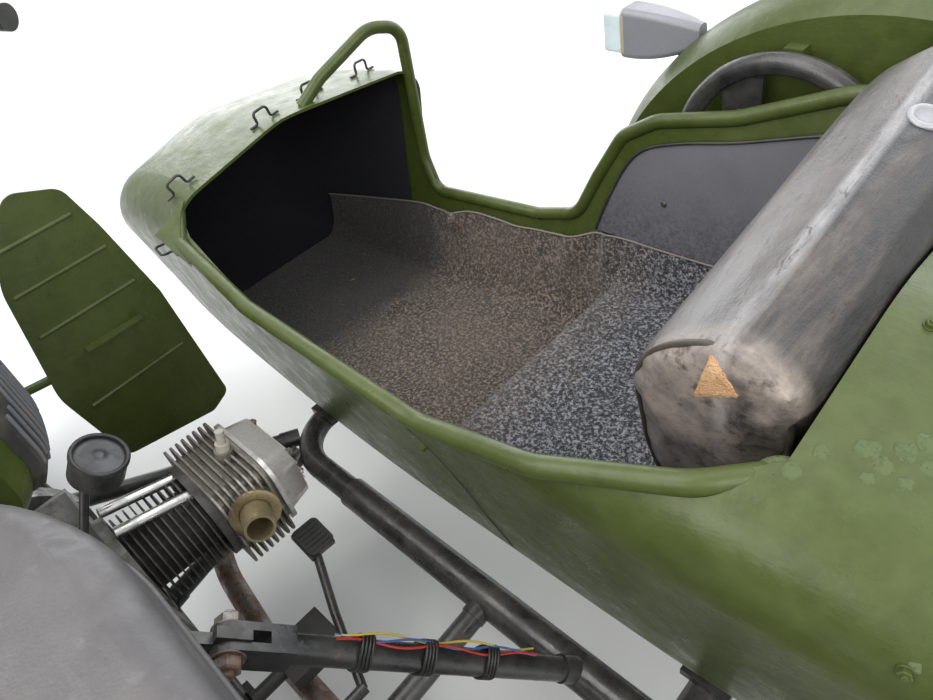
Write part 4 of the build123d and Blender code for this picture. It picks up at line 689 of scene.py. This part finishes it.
# The welt: a loop this many metres to the right of the backrest's left end
WELT_ALONG = 0.014
WELT_POINTS = 48
middle = at(155, -545, 700) - ACROSS * WELT_ALONG + UPWARD * -0.085
welt = []
for a in around(WELT_POINTS):
    way = Vector((math.cos(a), 0, 0)) + UPWARD * math.sin(a)
    welt.append(hit(backrest_tree, middle + way * 0.5, -way)[0] + way * 0.0022)
for _ in range(3):
    welt = [(welt[n - 1] + welt[n] * 2 + welt[(n + 1) % WELT_POINTS]) / 4 for n in range(WELT_POINTS)]
piping_look = rubber("backrest_piping", (0.030, 0.024, 0.020), rough=0.55, dusty=0.5)
line_tube("backrest_welt", [welt], 0.0036, "sidecar_backrest", "leatherette", piping_look, closed=True)

# The photograph's eye point, directions, centre and focal length in pixels
EYE = at(-47.79, -160.82, 1173.89)
PHOTO_CENTRE = (466.5, 350)
FOCAL = 701
RIGHT = Vector((-0.70978, -0.67934, -0.18631))
DOWN = Vector((-0.35701, 0.57492, -0.73621))
FORWARD = Vector((0.60725, -0.45603, -0.65060))


def seen_at(tree, across_px, down_px):
    """Where the photograph's line of sight meets a surface, and its normal."""
    across, down = (across_px - PHOTO_CENTRE[0]) / FOCAL, (down_px - PHOTO_CENTRE[1]) / FOCAL
    way = FORWARD + RIGHT * across + DOWN * down
    return hit(tree, EYE, way)


# Foam in a tear: a rough patch between three corners on the cover's end
foam_look = Look("torn_foam", rough=0.9)
foam_look.cover(foam_look.patches((60, 5, 0.7), 0.35, 0.65), (0.58, 0.37, 0.20), ground=(0.42, 0.20, 0.08))
foam_look.cover(foam_look.patches((190, 3, 0.7), 0.55, 0.7), (0.24, 0.11, 0.05))
foam_look.bump(foam_look.cells(600), 0.0012, 0.8)
FOAM_STEPS = 14
foam_verts, foam_faces = [], []
spot = {}
for i in range(FOAM_STEPS + 1):
    for j in range(FOAM_STEPS + 1 - i):
        k = FOAM_STEPS - i - j
        px = (711 * i + 691 * j + 742 * k) / FOAM_STEPS
        py = (351 * i + 397 * j + 399 * k) / FOAM_STEPS
        px += noise.noise(Vector((px * 0.21, py * 0.21, 3))) * 1.6
        py += noise.noise(Vector((px * 0.2, py * 0.2, 8))) * 1.6
        place, normal = seen_at(backrest_tree, px, py)
        lift = -0.0006 if min(i, j, k) == 0 else 0.0012 + 0.0012 * noise.noise(place * 90)
        spot[i, j] = len(foam_verts)
        foam_verts.append(place + normal * lift)
for i, j in spot:
    if i + j < FOAM_STEPS:
        foam_faces.append((spot[i, j], spot[i + 1, j], spot[i, j + 1]))
    if i + j < FOAM_STEPS - 1:
        foam_faces.append((spot[i + 1, j], spot[i + 1, j + 1], spot[i, j + 1]))
joined("backrest_torn_foam", foam_verts, foam_faces, "sidecar_backrest", "leatherette", foam_look.mat)

dish(
    "backrest_button", *seen_at(backrest_tree, 926, 117),
    ((0.0165, -0.003), (0.0170, 0.0010), (0.0155, 0.0028), (0.0120, 0.0032), (0.0110, 0.0020), (0.004, 0.0015)),
    "sidecar_backrest", "plain_steel",
    cast_metal("button_grey", (0.36, 0.36, 0.38), (0.16, 0.15, 0.14), metal=0.4, rough=0.45, oily=0.3),
)

# Carpet: one sheet from the seat down into the footwell, climbing the right wall to a wavy cut edge
tub_tree = surface_of("sidecar_tub")
MIDDLE_Y = -715
CARPET_EDGE = (
    # x, z of the cut edge up the right wall, from the rear forward
    (100, 510), (300, 510.5), (485, 510), (533, 510.5), (590, 509), (625, 490), (669, 483), (714, 480),
    (760, 476), (813, 478), (850, 480), (893, 476), (937, 462), (970, 464), (1005, 470), (1100, 458), (1320, 430),
)
CARPET_PATH = (
    # x, z of the sheet's underside, from the backrest down into the nose
    (106, 432.5), (300, 432.5), (480, 432.5), (530, 432), (545, 426), (551, 410), (553, 385),
    (556, 360), (562, 342), (576, 334.5), (620, 333.5), (800, 333.5), (1000, 333.5), (1200, 334), (1316, 336),
)


def spread(points, count):
    """Points at even steps along straight runs."""
    points = np.array(points, dtype=float)
    runs = np.concatenate([[0], np.cumsum(np.linalg.norm(np.diff(points, axis=0), axis=1))])
    marks = np.linspace(0, runs[-1], count)
    return np.stack([np.interp(marks, runs, points[:, k]) for k in range(points.shape[1])], axis=1)


def inner_wall(x, z, side):
    """The y, in millimetres, of the tub's left (1) or right (-1) wall inside."""
    place, _ = hit(tub_tree, at(x, MIDDLE_Y, z), (0, side, 0))
    return (place.y + ORIGIN.y) * 1000


carpet_rows = []
ROWS, COLUMNS = 190, 92
for x, z in spread(CARPET_PATH, ROWS):
    left = inner_wall(x, z, 1) - 5
    right = inner_wall(x, z, -1) + 9
    edge = np.interp(x, *zip(*CARPET_EDGE))
    climb = [(x, inner_wall(x, h, -1) + 8.5, h) for h in np.linspace(z + 12, edge, 5)]
    carpet_rows.append(spread([(x, left, z), (x, right, z), *climb], COLUMNS))
grid = np.array(carpet_rows)
for _ in range(6):
    soft = grid.copy()
    soft[:, 1:-1] = (grid[:, :-2] + grid[:, 2:] + 2 * grid[:, 1:-1]) / 4
    soft[1:-1] = (soft[:-2] + soft[2:] + 2 * soft[1:-1]) / 4
    grid = soft
across_run, along_run = np.zeros_like(grid), np.zeros_like(grid)
across_run[:, 1:-1] = grid[:, 2:] - grid[:, :-2]
across_run[:, 0], across_run[:, -1] = across_run[:, 1], across_run[:, -2]
along_run[1:-1] = grid[2:] - grid[:-2]
along_run[0], along_run[-1] = along_run[1], along_run[-2]
outward = np.cross(across_run, along_run)
outward /= np.maximum(np.linalg.norm(outward, axis=2, keepdims=True), 1e-9)


def fold(p, start, end, width):
    """How much of a fold is felt here: 1 on its line, falling off to the sides."""
    a, b = np.array(start, float), np.array(end, float)
    share = np.clip(np.dot(p - a, b - a) / np.dot(b - a, b - a), 0, 1)
    return math.exp(-(np.linalg.norm(p - a - (b - a) * share) / width) ** 2)


FOLDS = (
    # start, end, width, height of each fold in the carpet
    ((918, -972, 470), (948, -760, 336), 15, 20.0),
    ((950, -972, 468), (982, -790, 336), 18, -5.0),
    ((888, -972, 470), (902, -860, 336), 22, -4.5),
    ((588, -970, 497), (604, -920, 345), 11, -6.0),
    ((564, -970, 500), (574, -915, 400), 12, 9.0),
    ((636, -970, 487), (668, -890, 340), 18, 9.0),
    ((760, -970, 476), (780, -880, 336), 26, 4.0),
    ((553, -560, 420), (553, -900, 420), 18, 1.5),
)
for i in range(ROWS):
    for j in range(COLUMNS):
        point = grid[i, j]
        rise = 1.6 + 1.5 * noise.noise(Vector(point) * 0.011) + 0.8 * noise.noise(Vector(point) * 0.03)
        for start, end, width, height in FOLDS:
            rise += height * fold(point, start, end, width)
        grid[i, j] = point + outward[i, j] * max(rise, -1.5)
carpet_verts = [at(*point) for point in grid.reshape(-1, 3)]
carpet = joined("cockpit_carpet", carpet_verts, strips(ROWS, COLUMNS, closed=False), "floor_carpet", "carpet")
carpet.data = shown_mesh(carpet, ("SOLIDIFY", {"thickness": 0.005, "offset": -1.0}))
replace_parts(carpet, "floor_carpet")
edge_look = rubber("carpet_cut_edge", (0.19, 0.17, 0.155), rough=0.9, dusty=0.3)
edge_points = [point + Vector((0, 0.0015, 0.0006)) for point in carpet_verts[COLUMNS - 1 :: COLUMNS * 3]]
carpet_hem = line_tube("carpet_cut_edge", [edge_points], 0.0016, "floor_carpet", "carpet", edge_look)

# Felt inside the cowl, from the carpet's left side over the top and down to its right edge: a dark lining, made
# near-black as painted shade under the cowl
NOSE = at(1304, MIDDLE_Y, 500)
NOSE_STEP = math.radians(5.6)
FELT_AROUND = 60
NOSE_AROUND = 72
felt_and_shade_look = shade_black_felt("cowl_felt_and_shade")


def leaning(ahead, a):
    """A direction at this angle round the cowl, leant forward by the first one."""
    return Vector((math.sin(ahead), math.cos(a) * math.cos(ahead), math.sin(a) * math.cos(ahead)))


felt_verts = []
stations = [(at(1052 + step * 14, MIDDLE_Y, 520), 0.0) for step in range(19)]
stations += [(NOSE, NOSE_STEP * step) for step in range(1, 16)]
for station, ahead in stations:
    last = station
    for n in range(FELT_AROUND):
        a = math.radians(-28 + 236 * n / (FELT_AROUND - 1))
        for place, normal in hits(tub_tree, [station], leaning(ahead, a)):
            last = place + normal * 0.0024
        felt_verts.append(last)
felt_faces = strips(len(stations), FELT_AROUND, closed=False)
joined("cowl_felt_and_shade", felt_verts, felt_faces, "sidecar_tub", "carpet", felt_and_shade_look)
# The nose closed with the same felt, near-black as painted shade
nose_verts = []
for step in range(17):
    for a in around(NOSE_AROUND):
        place, normal = hit(tub_tree, NOSE, leaning(NOSE_STEP * step, a))
        nose_verts.append(place + normal * 0.0034)
joined("nose_felt_and_shade", nose_verts, strips(17, NOSE_AROUND), "sidecar_tub", "carpet", felt_and_shade_look)

# Crumbs and straw on the carpet
random.seed(11)
carpet_tree = surface_of(carpet)
CRUMB = (
    (-1, -1, 0), (1, -0.6, 0), (0.8, 1, 0), (-1, 0.7, 0), (-0.5, -0.4, 1), (0.6, -0.2, 1), (0.3, 0.5, 0.8),
)
crumb_verts, crumb_faces = [], []
for _ in range(90):
    x = random.uniform(430, 1180)
    y = random.uniform(-900, -560)
    found = hits(carpet_tree, [at(x, y, 600)], (0, 0, -1))
    if not found:
        continue
    place, normal = found[0]
    turn = basis(normal, (random.uniform(-1, 1), random.uniform(-1, 1), 0.1))
    length = random.choice((0.0012, 0.0016, 0.002, 0.006))
    size = random.uniform(0.0006, 0.0011)
    start = len(crumb_verts)
    for sx, sy, sz in CRUMB:
        crumb_verts.append(place + turn @ Vector((sx * length, sy * size, sz * size * 1.3 + 0.0003)))
    for face in ((0, 1, 5, 4), (1, 2, 6, 5), (2, 3, 4, 6), (3, 0, 4), (4, 5, 6), (3, 2, 1, 0)):
        crumb_faces.append(tuple(start + n for n in face))
crumb_look = rubber("dry_crumbs", (0.30, 0.22, 0.13), 0.9)
joined("carpet_crumbs", crumb_verts, crumb_faces, "floor_carpet", "carpet", crumb_look, smooth=False)

# Trim on the linings
lining_tree = surface_of("side_linings")
LINING_EDGE = (
    (591, 514), (579, 548), (563, 586), (549, 616), (534, 640), (519, 655), (501, 666), (470, 675), (437, 683),
    (400, 689), (364, 696), (310, 710), (253, 725), (180, 731), (120, 735),
)
# The lining's face, as the right panel leans out by this much for each millimetre up
LINING_Y, PANEL_LEAN = -964.5, 0.193
piping = [at(x - 1, LINING_Y - PANEL_LEAN * (z - 500), z) for x, z in LINING_EDGE]
black_welt = rubber("welt_black", (0.012, 0.012, 0.013), rough=0.5, dusty=0.2)
line_tube("lining_welt", [piping], 0.0024, "side_linings", "rubber", black_welt)
dish(
    "lining_tack", *hit(lining_tree, at(468, MIDDLE_Y, 585), (0, -1, 0)),
    ((0.0052, -0.0005), (0.0052, 0.0006), (0.0040, 0.0018), (0.0018, 0.0024)), "side_linings", "black_paint",
)

# The corner plate under the cowl's left corner, with a hollow free edge
corner, far_end, near_end = at(1043, -436, 676), at(1046, -505, 701), at(918, -430, 661)
middle = (far_end + near_end) / 2
pull = middle + (corner - middle) * 0.45
plate_verts = [corner] + [
    far_end * (1 - t) ** 2 + pull * 2 * t * (1 - t) + near_end * t * t for t in (n / 24 for n in range(25))
]
plate_faces = [(0, n, n + 1) for n in range(1, 25)]
plate = joined("cowl_corner_plate", plate_verts, plate_faces, "sidecar_tub", "green_paint", smooth=False)
plate.data = shown_mesh(
    plate, ("SOLIDIFY", {"thickness": 0.0022, "offset": 0.0}), ("BEVEL", {"width": 0.0006, "segments": 2})
)

# Bolts
body_trees = surface_of("sidecar_tub", "tub_rim")
tub_bolts = [seen_at(body_trees, px, py) for px, py in ((424, 446), (931, 326), (905, 672))]
hex_bolts("tub_bolts", tub_bolts, 0.009, 0.004, "sidecar_tub", "green_paint")
hoop_bolt = hit(surface_of("sidecar_frame"), at(391, -900, 707), (0, -1, 0))
hex_bolts("hoop_bracket_bolt", [hoop_bolt], 0.015, 0.007, "sidecar_frame", "plain_steel")

# The rear upper strut, from its lug on the machine down to the sidecar's frame
LUG = at(415, -150, 580)
strut_run = at(236, -425, 293) - LUG
strut_length = strut_run.length
STRUT = strut_run.normalized()
PIN = Vector((-STRUT.y, STRUT.x, 0)).normalized()
strut_tree = surface_of("sidecar_struts")
clevis = []
for side in (1, -1):
    place, _ = hit(strut_tree, LUG + STRUT * 0.011 + PIN * side * 0.2, PIN * -side)
    clevis.append((LUG + PIN * side * abs((place - LUG).dot(PIN)), PIN * side))
hex_bolts("clevis_nuts", clevis, 0.024, 0.012, "sidecar_struts", "plain_steel")

cover_tree = surface_of("rocker_covers")
cover_bolts = []
for side in (1, -1):
    corners = [at(x, side * 600, z) for z in (413, 365) for x in (740, 846)]
    cover_bolts += hits(cover_tree, corners, (0, -side, 0))
hex_bolts("rocker_cover_bolts", cover_bolts, 0.010, 0.005, "rocker_covers", "plain_steel")

# Wires taped to the strut, along its upper side
side_way = STRUT.cross(PIN).normalized()
WIRES = (
    ("wire_red", (0.42, 0.02, 0.015)), ("wire_blue", (0.03, 0.10, 0.30)), ("wire_yellow", (0.50, 0.38, 0.06)),
)
for number, (name, shade) in enumerate(WIRES):
    points = []
    for n in range(15):
        along = 0.10 + (strut_length - 0.185) * n / 14
        sway = math.sin(n * 1.1 + number * 2.1) * 0.0030
        swing = math.cos(n * 0.9 + number * 1.9) * 0.0016 + 0.0022
        sideways = (number - 1) * 0.0042 + sway + 0.004
        points.append(LUG + STRUT * along + side_way * (0.0196 + swing) + PIN * sideways)
    wire = line_tube(name, [points], 0.0013, "strut_wiring", "wire_sleeve", rubber(name, shade, 0.4, 0.2))
    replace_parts(wire, "strut_wiring")
tape = []
for along in (0.13, 0.205, 0.285):
    ring = []
    for a in around(20):
        way = side_way * math.cos(a) + PIN * math.sin(a)
        reach = 0.0162 + 0.0075 * max(0.0, math.cos(a)) ** 3
        ring.append(LUG + STRUT * (along + 0.002 * math.sin(3 * a)) + way * reach)
    tape += [[point + STRUT * shift for point in ring] for shift in (0, 0.004, 0.008, 0.012)]
line_tube("strut_tape", tape, 0.0018, "sidecar_struts", "rubber", black_welt, closed=True)

CORNER_POINTS = 8


def rounded_ring(centre, along, up, half_along, half_up, corner):
    """A rectangle with rounded corners, as a loop of points."""
    ring = []
    for cx, cy, start in ((1, 1, 0), (-1, 1, 90), (-1, -1, 180), (1, -1, 270)):
        for n in range(CORNER_POINTS):
            a = math.radians(start + 90 * n / (CORNER_POINTS - 1))
            ring.append(
                centre + along * (cx * (half_along - corner) + corner * math.cos(a))
                + up * (cy * (half_up - corner) + corner * math.sin(a))
            )
    return ring


# Pedal pad
PAD = at(681, -327, 289)
pad_up = Vector((-0.35, -0.1, 1)).normalized()
pad_turn = basis(pad_up, (1, 0, 0.35))
pad_along, pad_side, _ = pad_turn.col
pad_verts = []
for share, height in ((0.94, 0.0045), (1.0, 0.0065), (1.0, 0.0115), (0.94, 0.0135)):
    pad_verts += rounded_ring(PAD + pad_up * height, pad_along, pad_side, 0.026 * share, 0.024 * share, 0.009)
pad_row = CORNER_POINTS * 4
pad_faces = strips(4, pad_row)
pad_faces += [tuple(range(3 * pad_row, 4 * pad_row)), tuple(reversed(range(pad_row)))]
joined("brake_pad_rubber", pad_verts, pad_faces, "foot_levers", "rubber", smooth=False)
pad_top = PAD + pad_up * 0.0137
pad_lines = [
    [pad_top + pad_turn @ Vector((-0.019 + n * 0.0076, y, 0)) for y in (-0.019, -0.007, 0.007, 0.019)]
    for n in range(6)
]
line_tube("brake_pad_ribs", pad_lines, 0.0015, "foot_levers", "rubber", order=2)

# Intake flanges
FLANGE = (
    (0.0230, 0.0), (0.0378, 0.0), (0.0382, 0.0006), (0.0380, 0.0026), (0.0372, 0.0031), (0.0238, 0.0031),
    (0.0230, 0.0024),
)
for name, side in (("left", 1), ("right", -1)):
    way = Vector((-0.93, -0.3 * side, 0.2)).normalized()
    dish(
        f"intake_flange_{name}", at(714, side * 284, 391) + way * 0.0073, way, FLANGE,
        "intake_stubs", "bare_alloy", PIECE_LOOKS["intake_stubs"], count=56, hole=True,
    )

# Knee pad ribs
knee_tree = surface_of("knee_pads")
knee_lines = []
for side in (1, -1):
    for n in range(9):
        half = 50 if 1 < n < 7 else 34
        starts = [at(652 + n * 13, side * 260, z) for z in np.linspace(738 - half, 738 + half, 9)]
        line = [place + normal * 0.0002 for place, normal in hits(knee_tree, starts, (0, -side, 0))]
        if len(line) > 3:
            knee_lines.append(line)
knee_look = rubber("knee_rubber_dusty", (0.115, 0.12, 0.14), rough=0.6, dusty=0.8)
line_tube("knee_pad_ribs", knee_lines, 0.0026, "knee_pads", "rubber", knee_look)

# Marker lamp gasket
gasket_look = rubber("lamp_gasket", (0.42, 0.36, 0.26), rough=0.8, dusty=0.4)
gasket = [
    rounded_ring(at(x, -1175, 761), Vector((0, 1, 0)), Vector((0, 0, 1)), 0.0245, 0.0365, 0.010)
    for x in (648.5, 651.5)
]
line_tube("marker_lamp_gasket", gasket, 0.0022, "marker_lamp_housing", "rubber", gasket_look, closed=True)

# Horn rim and diaphragm
horn_up = Vector((-0.35, -0.45, 0.82)).normalized()
horn_face = at(793, -165, 560) + horn_up * 0.017
horn_turn = basis(horn_up)
horn_rings = [circle(horn_face, horn_turn, 0.0335, height, 40) for height in (-0.001, 0.003)]
line_tube("horn_rim", horn_rings, 0.0032, "signal_horn", "black_paint", closed=True)
DIAPHRAGM = (
    (0.031, 0.0002), (0.030, 0.0012), (0.026, 0.0004), (0.020, 0.0010), (0.013, 0.0022), (0.007, 0.0026),
    (0.006, 0.0042), (0.003, 0.0045),
)
horn_look = cast_metal("horn_grey", (0.11, 0.11, 0.115), (0.035, 0.03, 0.028), metal=0.5, rough=0.4)
dish("horn_diaphragm", horn_face, horn_up, DIAPHRAGM, "signal_horn", "bright_steel", horn_look)

# Headlamp rim
lens_low, lens_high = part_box("headlamp_lens")
lens_face = Vector((lens_low.x, (lens_low.y + lens_high.y) / 2, (lens_low.z + lens_high.z) / 2))
rim_radius = (lens_high.z - lens_low.z) / 2
ahead_turn = Matrix(((0, 0, 1), (1, 0, 0), (0, 1, 0)))
rim_rings = [
    circle(lens_face, ahead_turn, rim_radius + grow, shift, 64)
    for shift, grow in ((-0.001, 0.0015), (0.004, 0.0005))
]
line_tube("headlamp_rim", rim_rings, 0.0042, "headlamp_lens", "bright_steel", closed=True)

# Filler lumps under the paint: each has a place on the photograph, a radius and a height in millimetres
chipped_look = brushed_paint(
    "chipped_filler", (0.047, 0.072, 0.018), (0.062, 0.09, 0.026), chips=0.3, under=(0.09, 0.115, 0.05)
)
LUMPS = (
    (776, 459, 11, 2.8), (792, 470, 8, 2.0), (822, 452, 7, 1.6), (868, 449, 10, 2.4), (884, 466, 8, 2.0),
    (905, 452, 9, 2.0), (926, 443, 8, 1.8), (905, 484, 6, 1.4), (868, 478, 6, 1.5), (930, 468, 7, 1.6),
    (915, 668, 5, 1.4),
)
LUMP_RINGS, LUMP_AROUND = 7, 22
lump_verts, lump_faces = [], []
for px, py, size, height in LUMPS:
    size, height = size / 1000, height / 1000
    centre, normal = seen_at(body_trees, px, py)
    turn = basis(normal)
    first = len(lump_verts) + 1
    lump_verts.append(centre + normal * height)
    for k in range(1, LUMP_RINGS + 1):
        for a in around(LUMP_AROUND):
            ragged = 1 + 0.35 * noise.noise(Vector((math.cos(a) * 1.5, math.sin(a) * 1.5, px)))
            radius = size * k / LUMP_RINGS * ragged
            out = turn @ Vector((radius * math.cos(a), radius * math.sin(a), 0))
            found = hits(body_trees, [centre + out + normal * 0.02], -normal)
            place, facing = found[0] if found else (centre + out, normal)
            lift = -0.0006
            if k < LUMP_RINGS:
                swell = math.cos(math.pi / 2 * k / LUMP_RINGS) ** 0.8
                lift = height * swell * (1 + 0.35 * noise.noise(place * 260))
            lump_verts.append(place + facing * lift)
    lump_faces += [(first - 1, first + n, first + (n + 1) % LUMP_AROUND) for n in range(LUMP_AROUND)]
    lump_faces += strips(LUMP_RINGS, LUMP_AROUND, first, flip=True)
joined("body_filler_lumps", lump_verts, lump_faces, "sidecar_tub", "green_paint", chipped_look)

# The edge of a patch on the body's left side
seam = []
for n in range(22):
    t = n / 21
    px = 388 + 128 * t + 3 * math.sin(5 * t)
    py = 412 + 118 * t + 16 * t * t
    place, normal = seen_at(body_trees, px, py)
    seam.append(place + normal * 0.0002)
line_tube("body_patch_seam", [seam], 0.0009, "sidecar_tub", "green_paint", black_welt)

# Rider's cushion welt
MACHINE_Y = -ORIGIN.y
cushion_tree = surface_of(rider_cushion)
seat_low, seat_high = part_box("rider_seat")
seat_x = (seat_low.x + seat_high.x) / 2
welt = []
for a in around(72):
    start = Vector((seat_x + math.cos(a) * 0.8, MACHINE_Y + math.sin(a) * 0.8, seat_low.z + 0.022))
    aim = Vector((seat_x + math.cos(a) * 0.17, MACHINE_Y, seat_low.z + 0.022))
    place, normal = hit(cushion_tree, start, aim - start)
    welt.append(place + normal * 0.0005)
line_tube("rider_cushion_welt", [welt], 0.0034, "rider_seat", "seat_cover", closed=True)

# Levers on the handlebar
low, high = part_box("hand_grips")
levers = []
for side in (1, -1):
    outer_y = side * (high.y - low.y) / 2
    base = Vector((high.x + 0.028, MACHINE_Y + outer_y - side * 0.150, high.z - 0.0065))
    tip = Vector((low.x + 0.052, MACHINE_Y + outer_y - side * 0.012, low.z + 0.012))
    levers.append([
        base + Vector((-0.034, -side * 0.012, -0.006)), base, (base + tip) / 2 + Vector((0.012, 0, 0.001)), tip,
        tip + Vector((-0.010, side * 0.006, -0.001)),
    ])
line_tube("hand_levers", levers, 0.0052, "hand_grips", "bright_steel")

# Floor, light and camera
floor_mesh = bpy.data.meshes.new("floor")
floor_mesh.from_pydata([(-40, -40, 0), (40, -40, 0), (40, 40, 0), (-40, 40, 0)], [], [(0, 1, 2, 3)])
floor_look = Look("floor_pale", rough=0.9)
floor_look.cover(floor_look.patches((2, 3), 0.4, 0.6), (0.68, 0.68, 0.67), ground=(0.72, 0.72, 0.71))
floor_mesh.materials.append(floor_look.mat)
new_object("floor", floor_mesh)

# The sky lights the object, and the camera, metal and glass see a nearly white backdrop
world = bpy.data.worlds.new("studio")
world.use_nodes = True
bpy.context.scene.world = world
tree = world.node_tree
sky = tree.nodes["Background"]
sky.inputs["Color"].default_value = (0.86, 0.90, 0.95, 1)
sky.inputs["Strength"].default_value = 0.72
backdrop = tree.nodes.new("ShaderNodeBackground")
backdrop.inputs["Color"].default_value = (0.93, 0.94, 0.94, 1)
rays = tree.nodes.new("ShaderNodeLightPath")
seen = rays.outputs["Is Camera Ray"]
for kind in ("Is Transmission Ray", "Is Glossy Ray"):
    either = tree.nodes.new("ShaderNodeMath")
    either.operation = "MAXIMUM"
    tree.links.new(seen, either.inputs[0])
    tree.links.new(rays.outputs[kind], either.inputs[1])
    seen = either.outputs[0]
chosen = tree.nodes.new("ShaderNodeMixShader")
for source, target in zip((seen, sky.outputs[0], backdrop.outputs[0]), chosen.inputs):
    tree.links.new(source, target)
tree.links.new(chosen.outputs[0], tree.nodes["World Output"].inputs[0])

LAMPS = (
    # name, place, target, size, watts, colour
    ("overcast_key", (1.5, 2.5, 5.0), (0, 0, 0.4), 4.0, 200, (1.0, 0.98, 0.95)),
    ("overcast_fill", (-2.0, -4.0, 4.0), (0, 0, 0.4), 5.0, 120, (0.92, 0.96, 1.0)),
    ("left_fill", (-0.5, 4.5, 2.6), (0, -0.2, 0.6), 3.0, 110, (1.0, 0.99, 0.97)),
    ("rear_fill", (-4.0, 1.2, 2.8), (0.4, 0, 0.6), 3.0, 120, (1.0, 0.99, 0.97)),
    ("right_sheen", (1.2, -8.0, 3.6), (0.1, -0.5, 0.7), 6.0, 230, (0.96, 0.98, 1.0)),
    ("overhead", (0.9, -0.6, 6.0), (0.3, -0.4, 0.5), 4.0, 90, (0.97, 0.99, 1.0)),
    ("front_sheen", (7.0, -4.2, 2.2), (0.4, -0.3, 0.7), 6.0, 300, (0.95, 0.98, 1.0)),
)
for name, place, target, size, watts, colour in LAMPS:
    lamp = bpy.data.lights.new(name, "AREA")
    lamp.size, lamp.energy, lamp.color = size, watts, colour
    made = new_object(name, lamp)
    made.location = place
    made.rotation_euler = (Vector(target) - Vector(place)).to_track_quat("-Z", "Y").to_euler()

camera_data = bpy.data.cameras.new("photo_view")
camera_data.sensor_width = 36.0
camera_data.lens = 27.05
camera_data.clip_start = 0.02
camera = new_object("photo_view", camera_data)
turn = Matrix((RIGHT, -DOWN, -FORWARD)).transposed().to_4x4()
camera.matrix_world = Matrix.Translation(EYE) @ turn
bpy.context.scene.camera = camera
bpy.context.scene.view_settings.view_transform = "Standard"
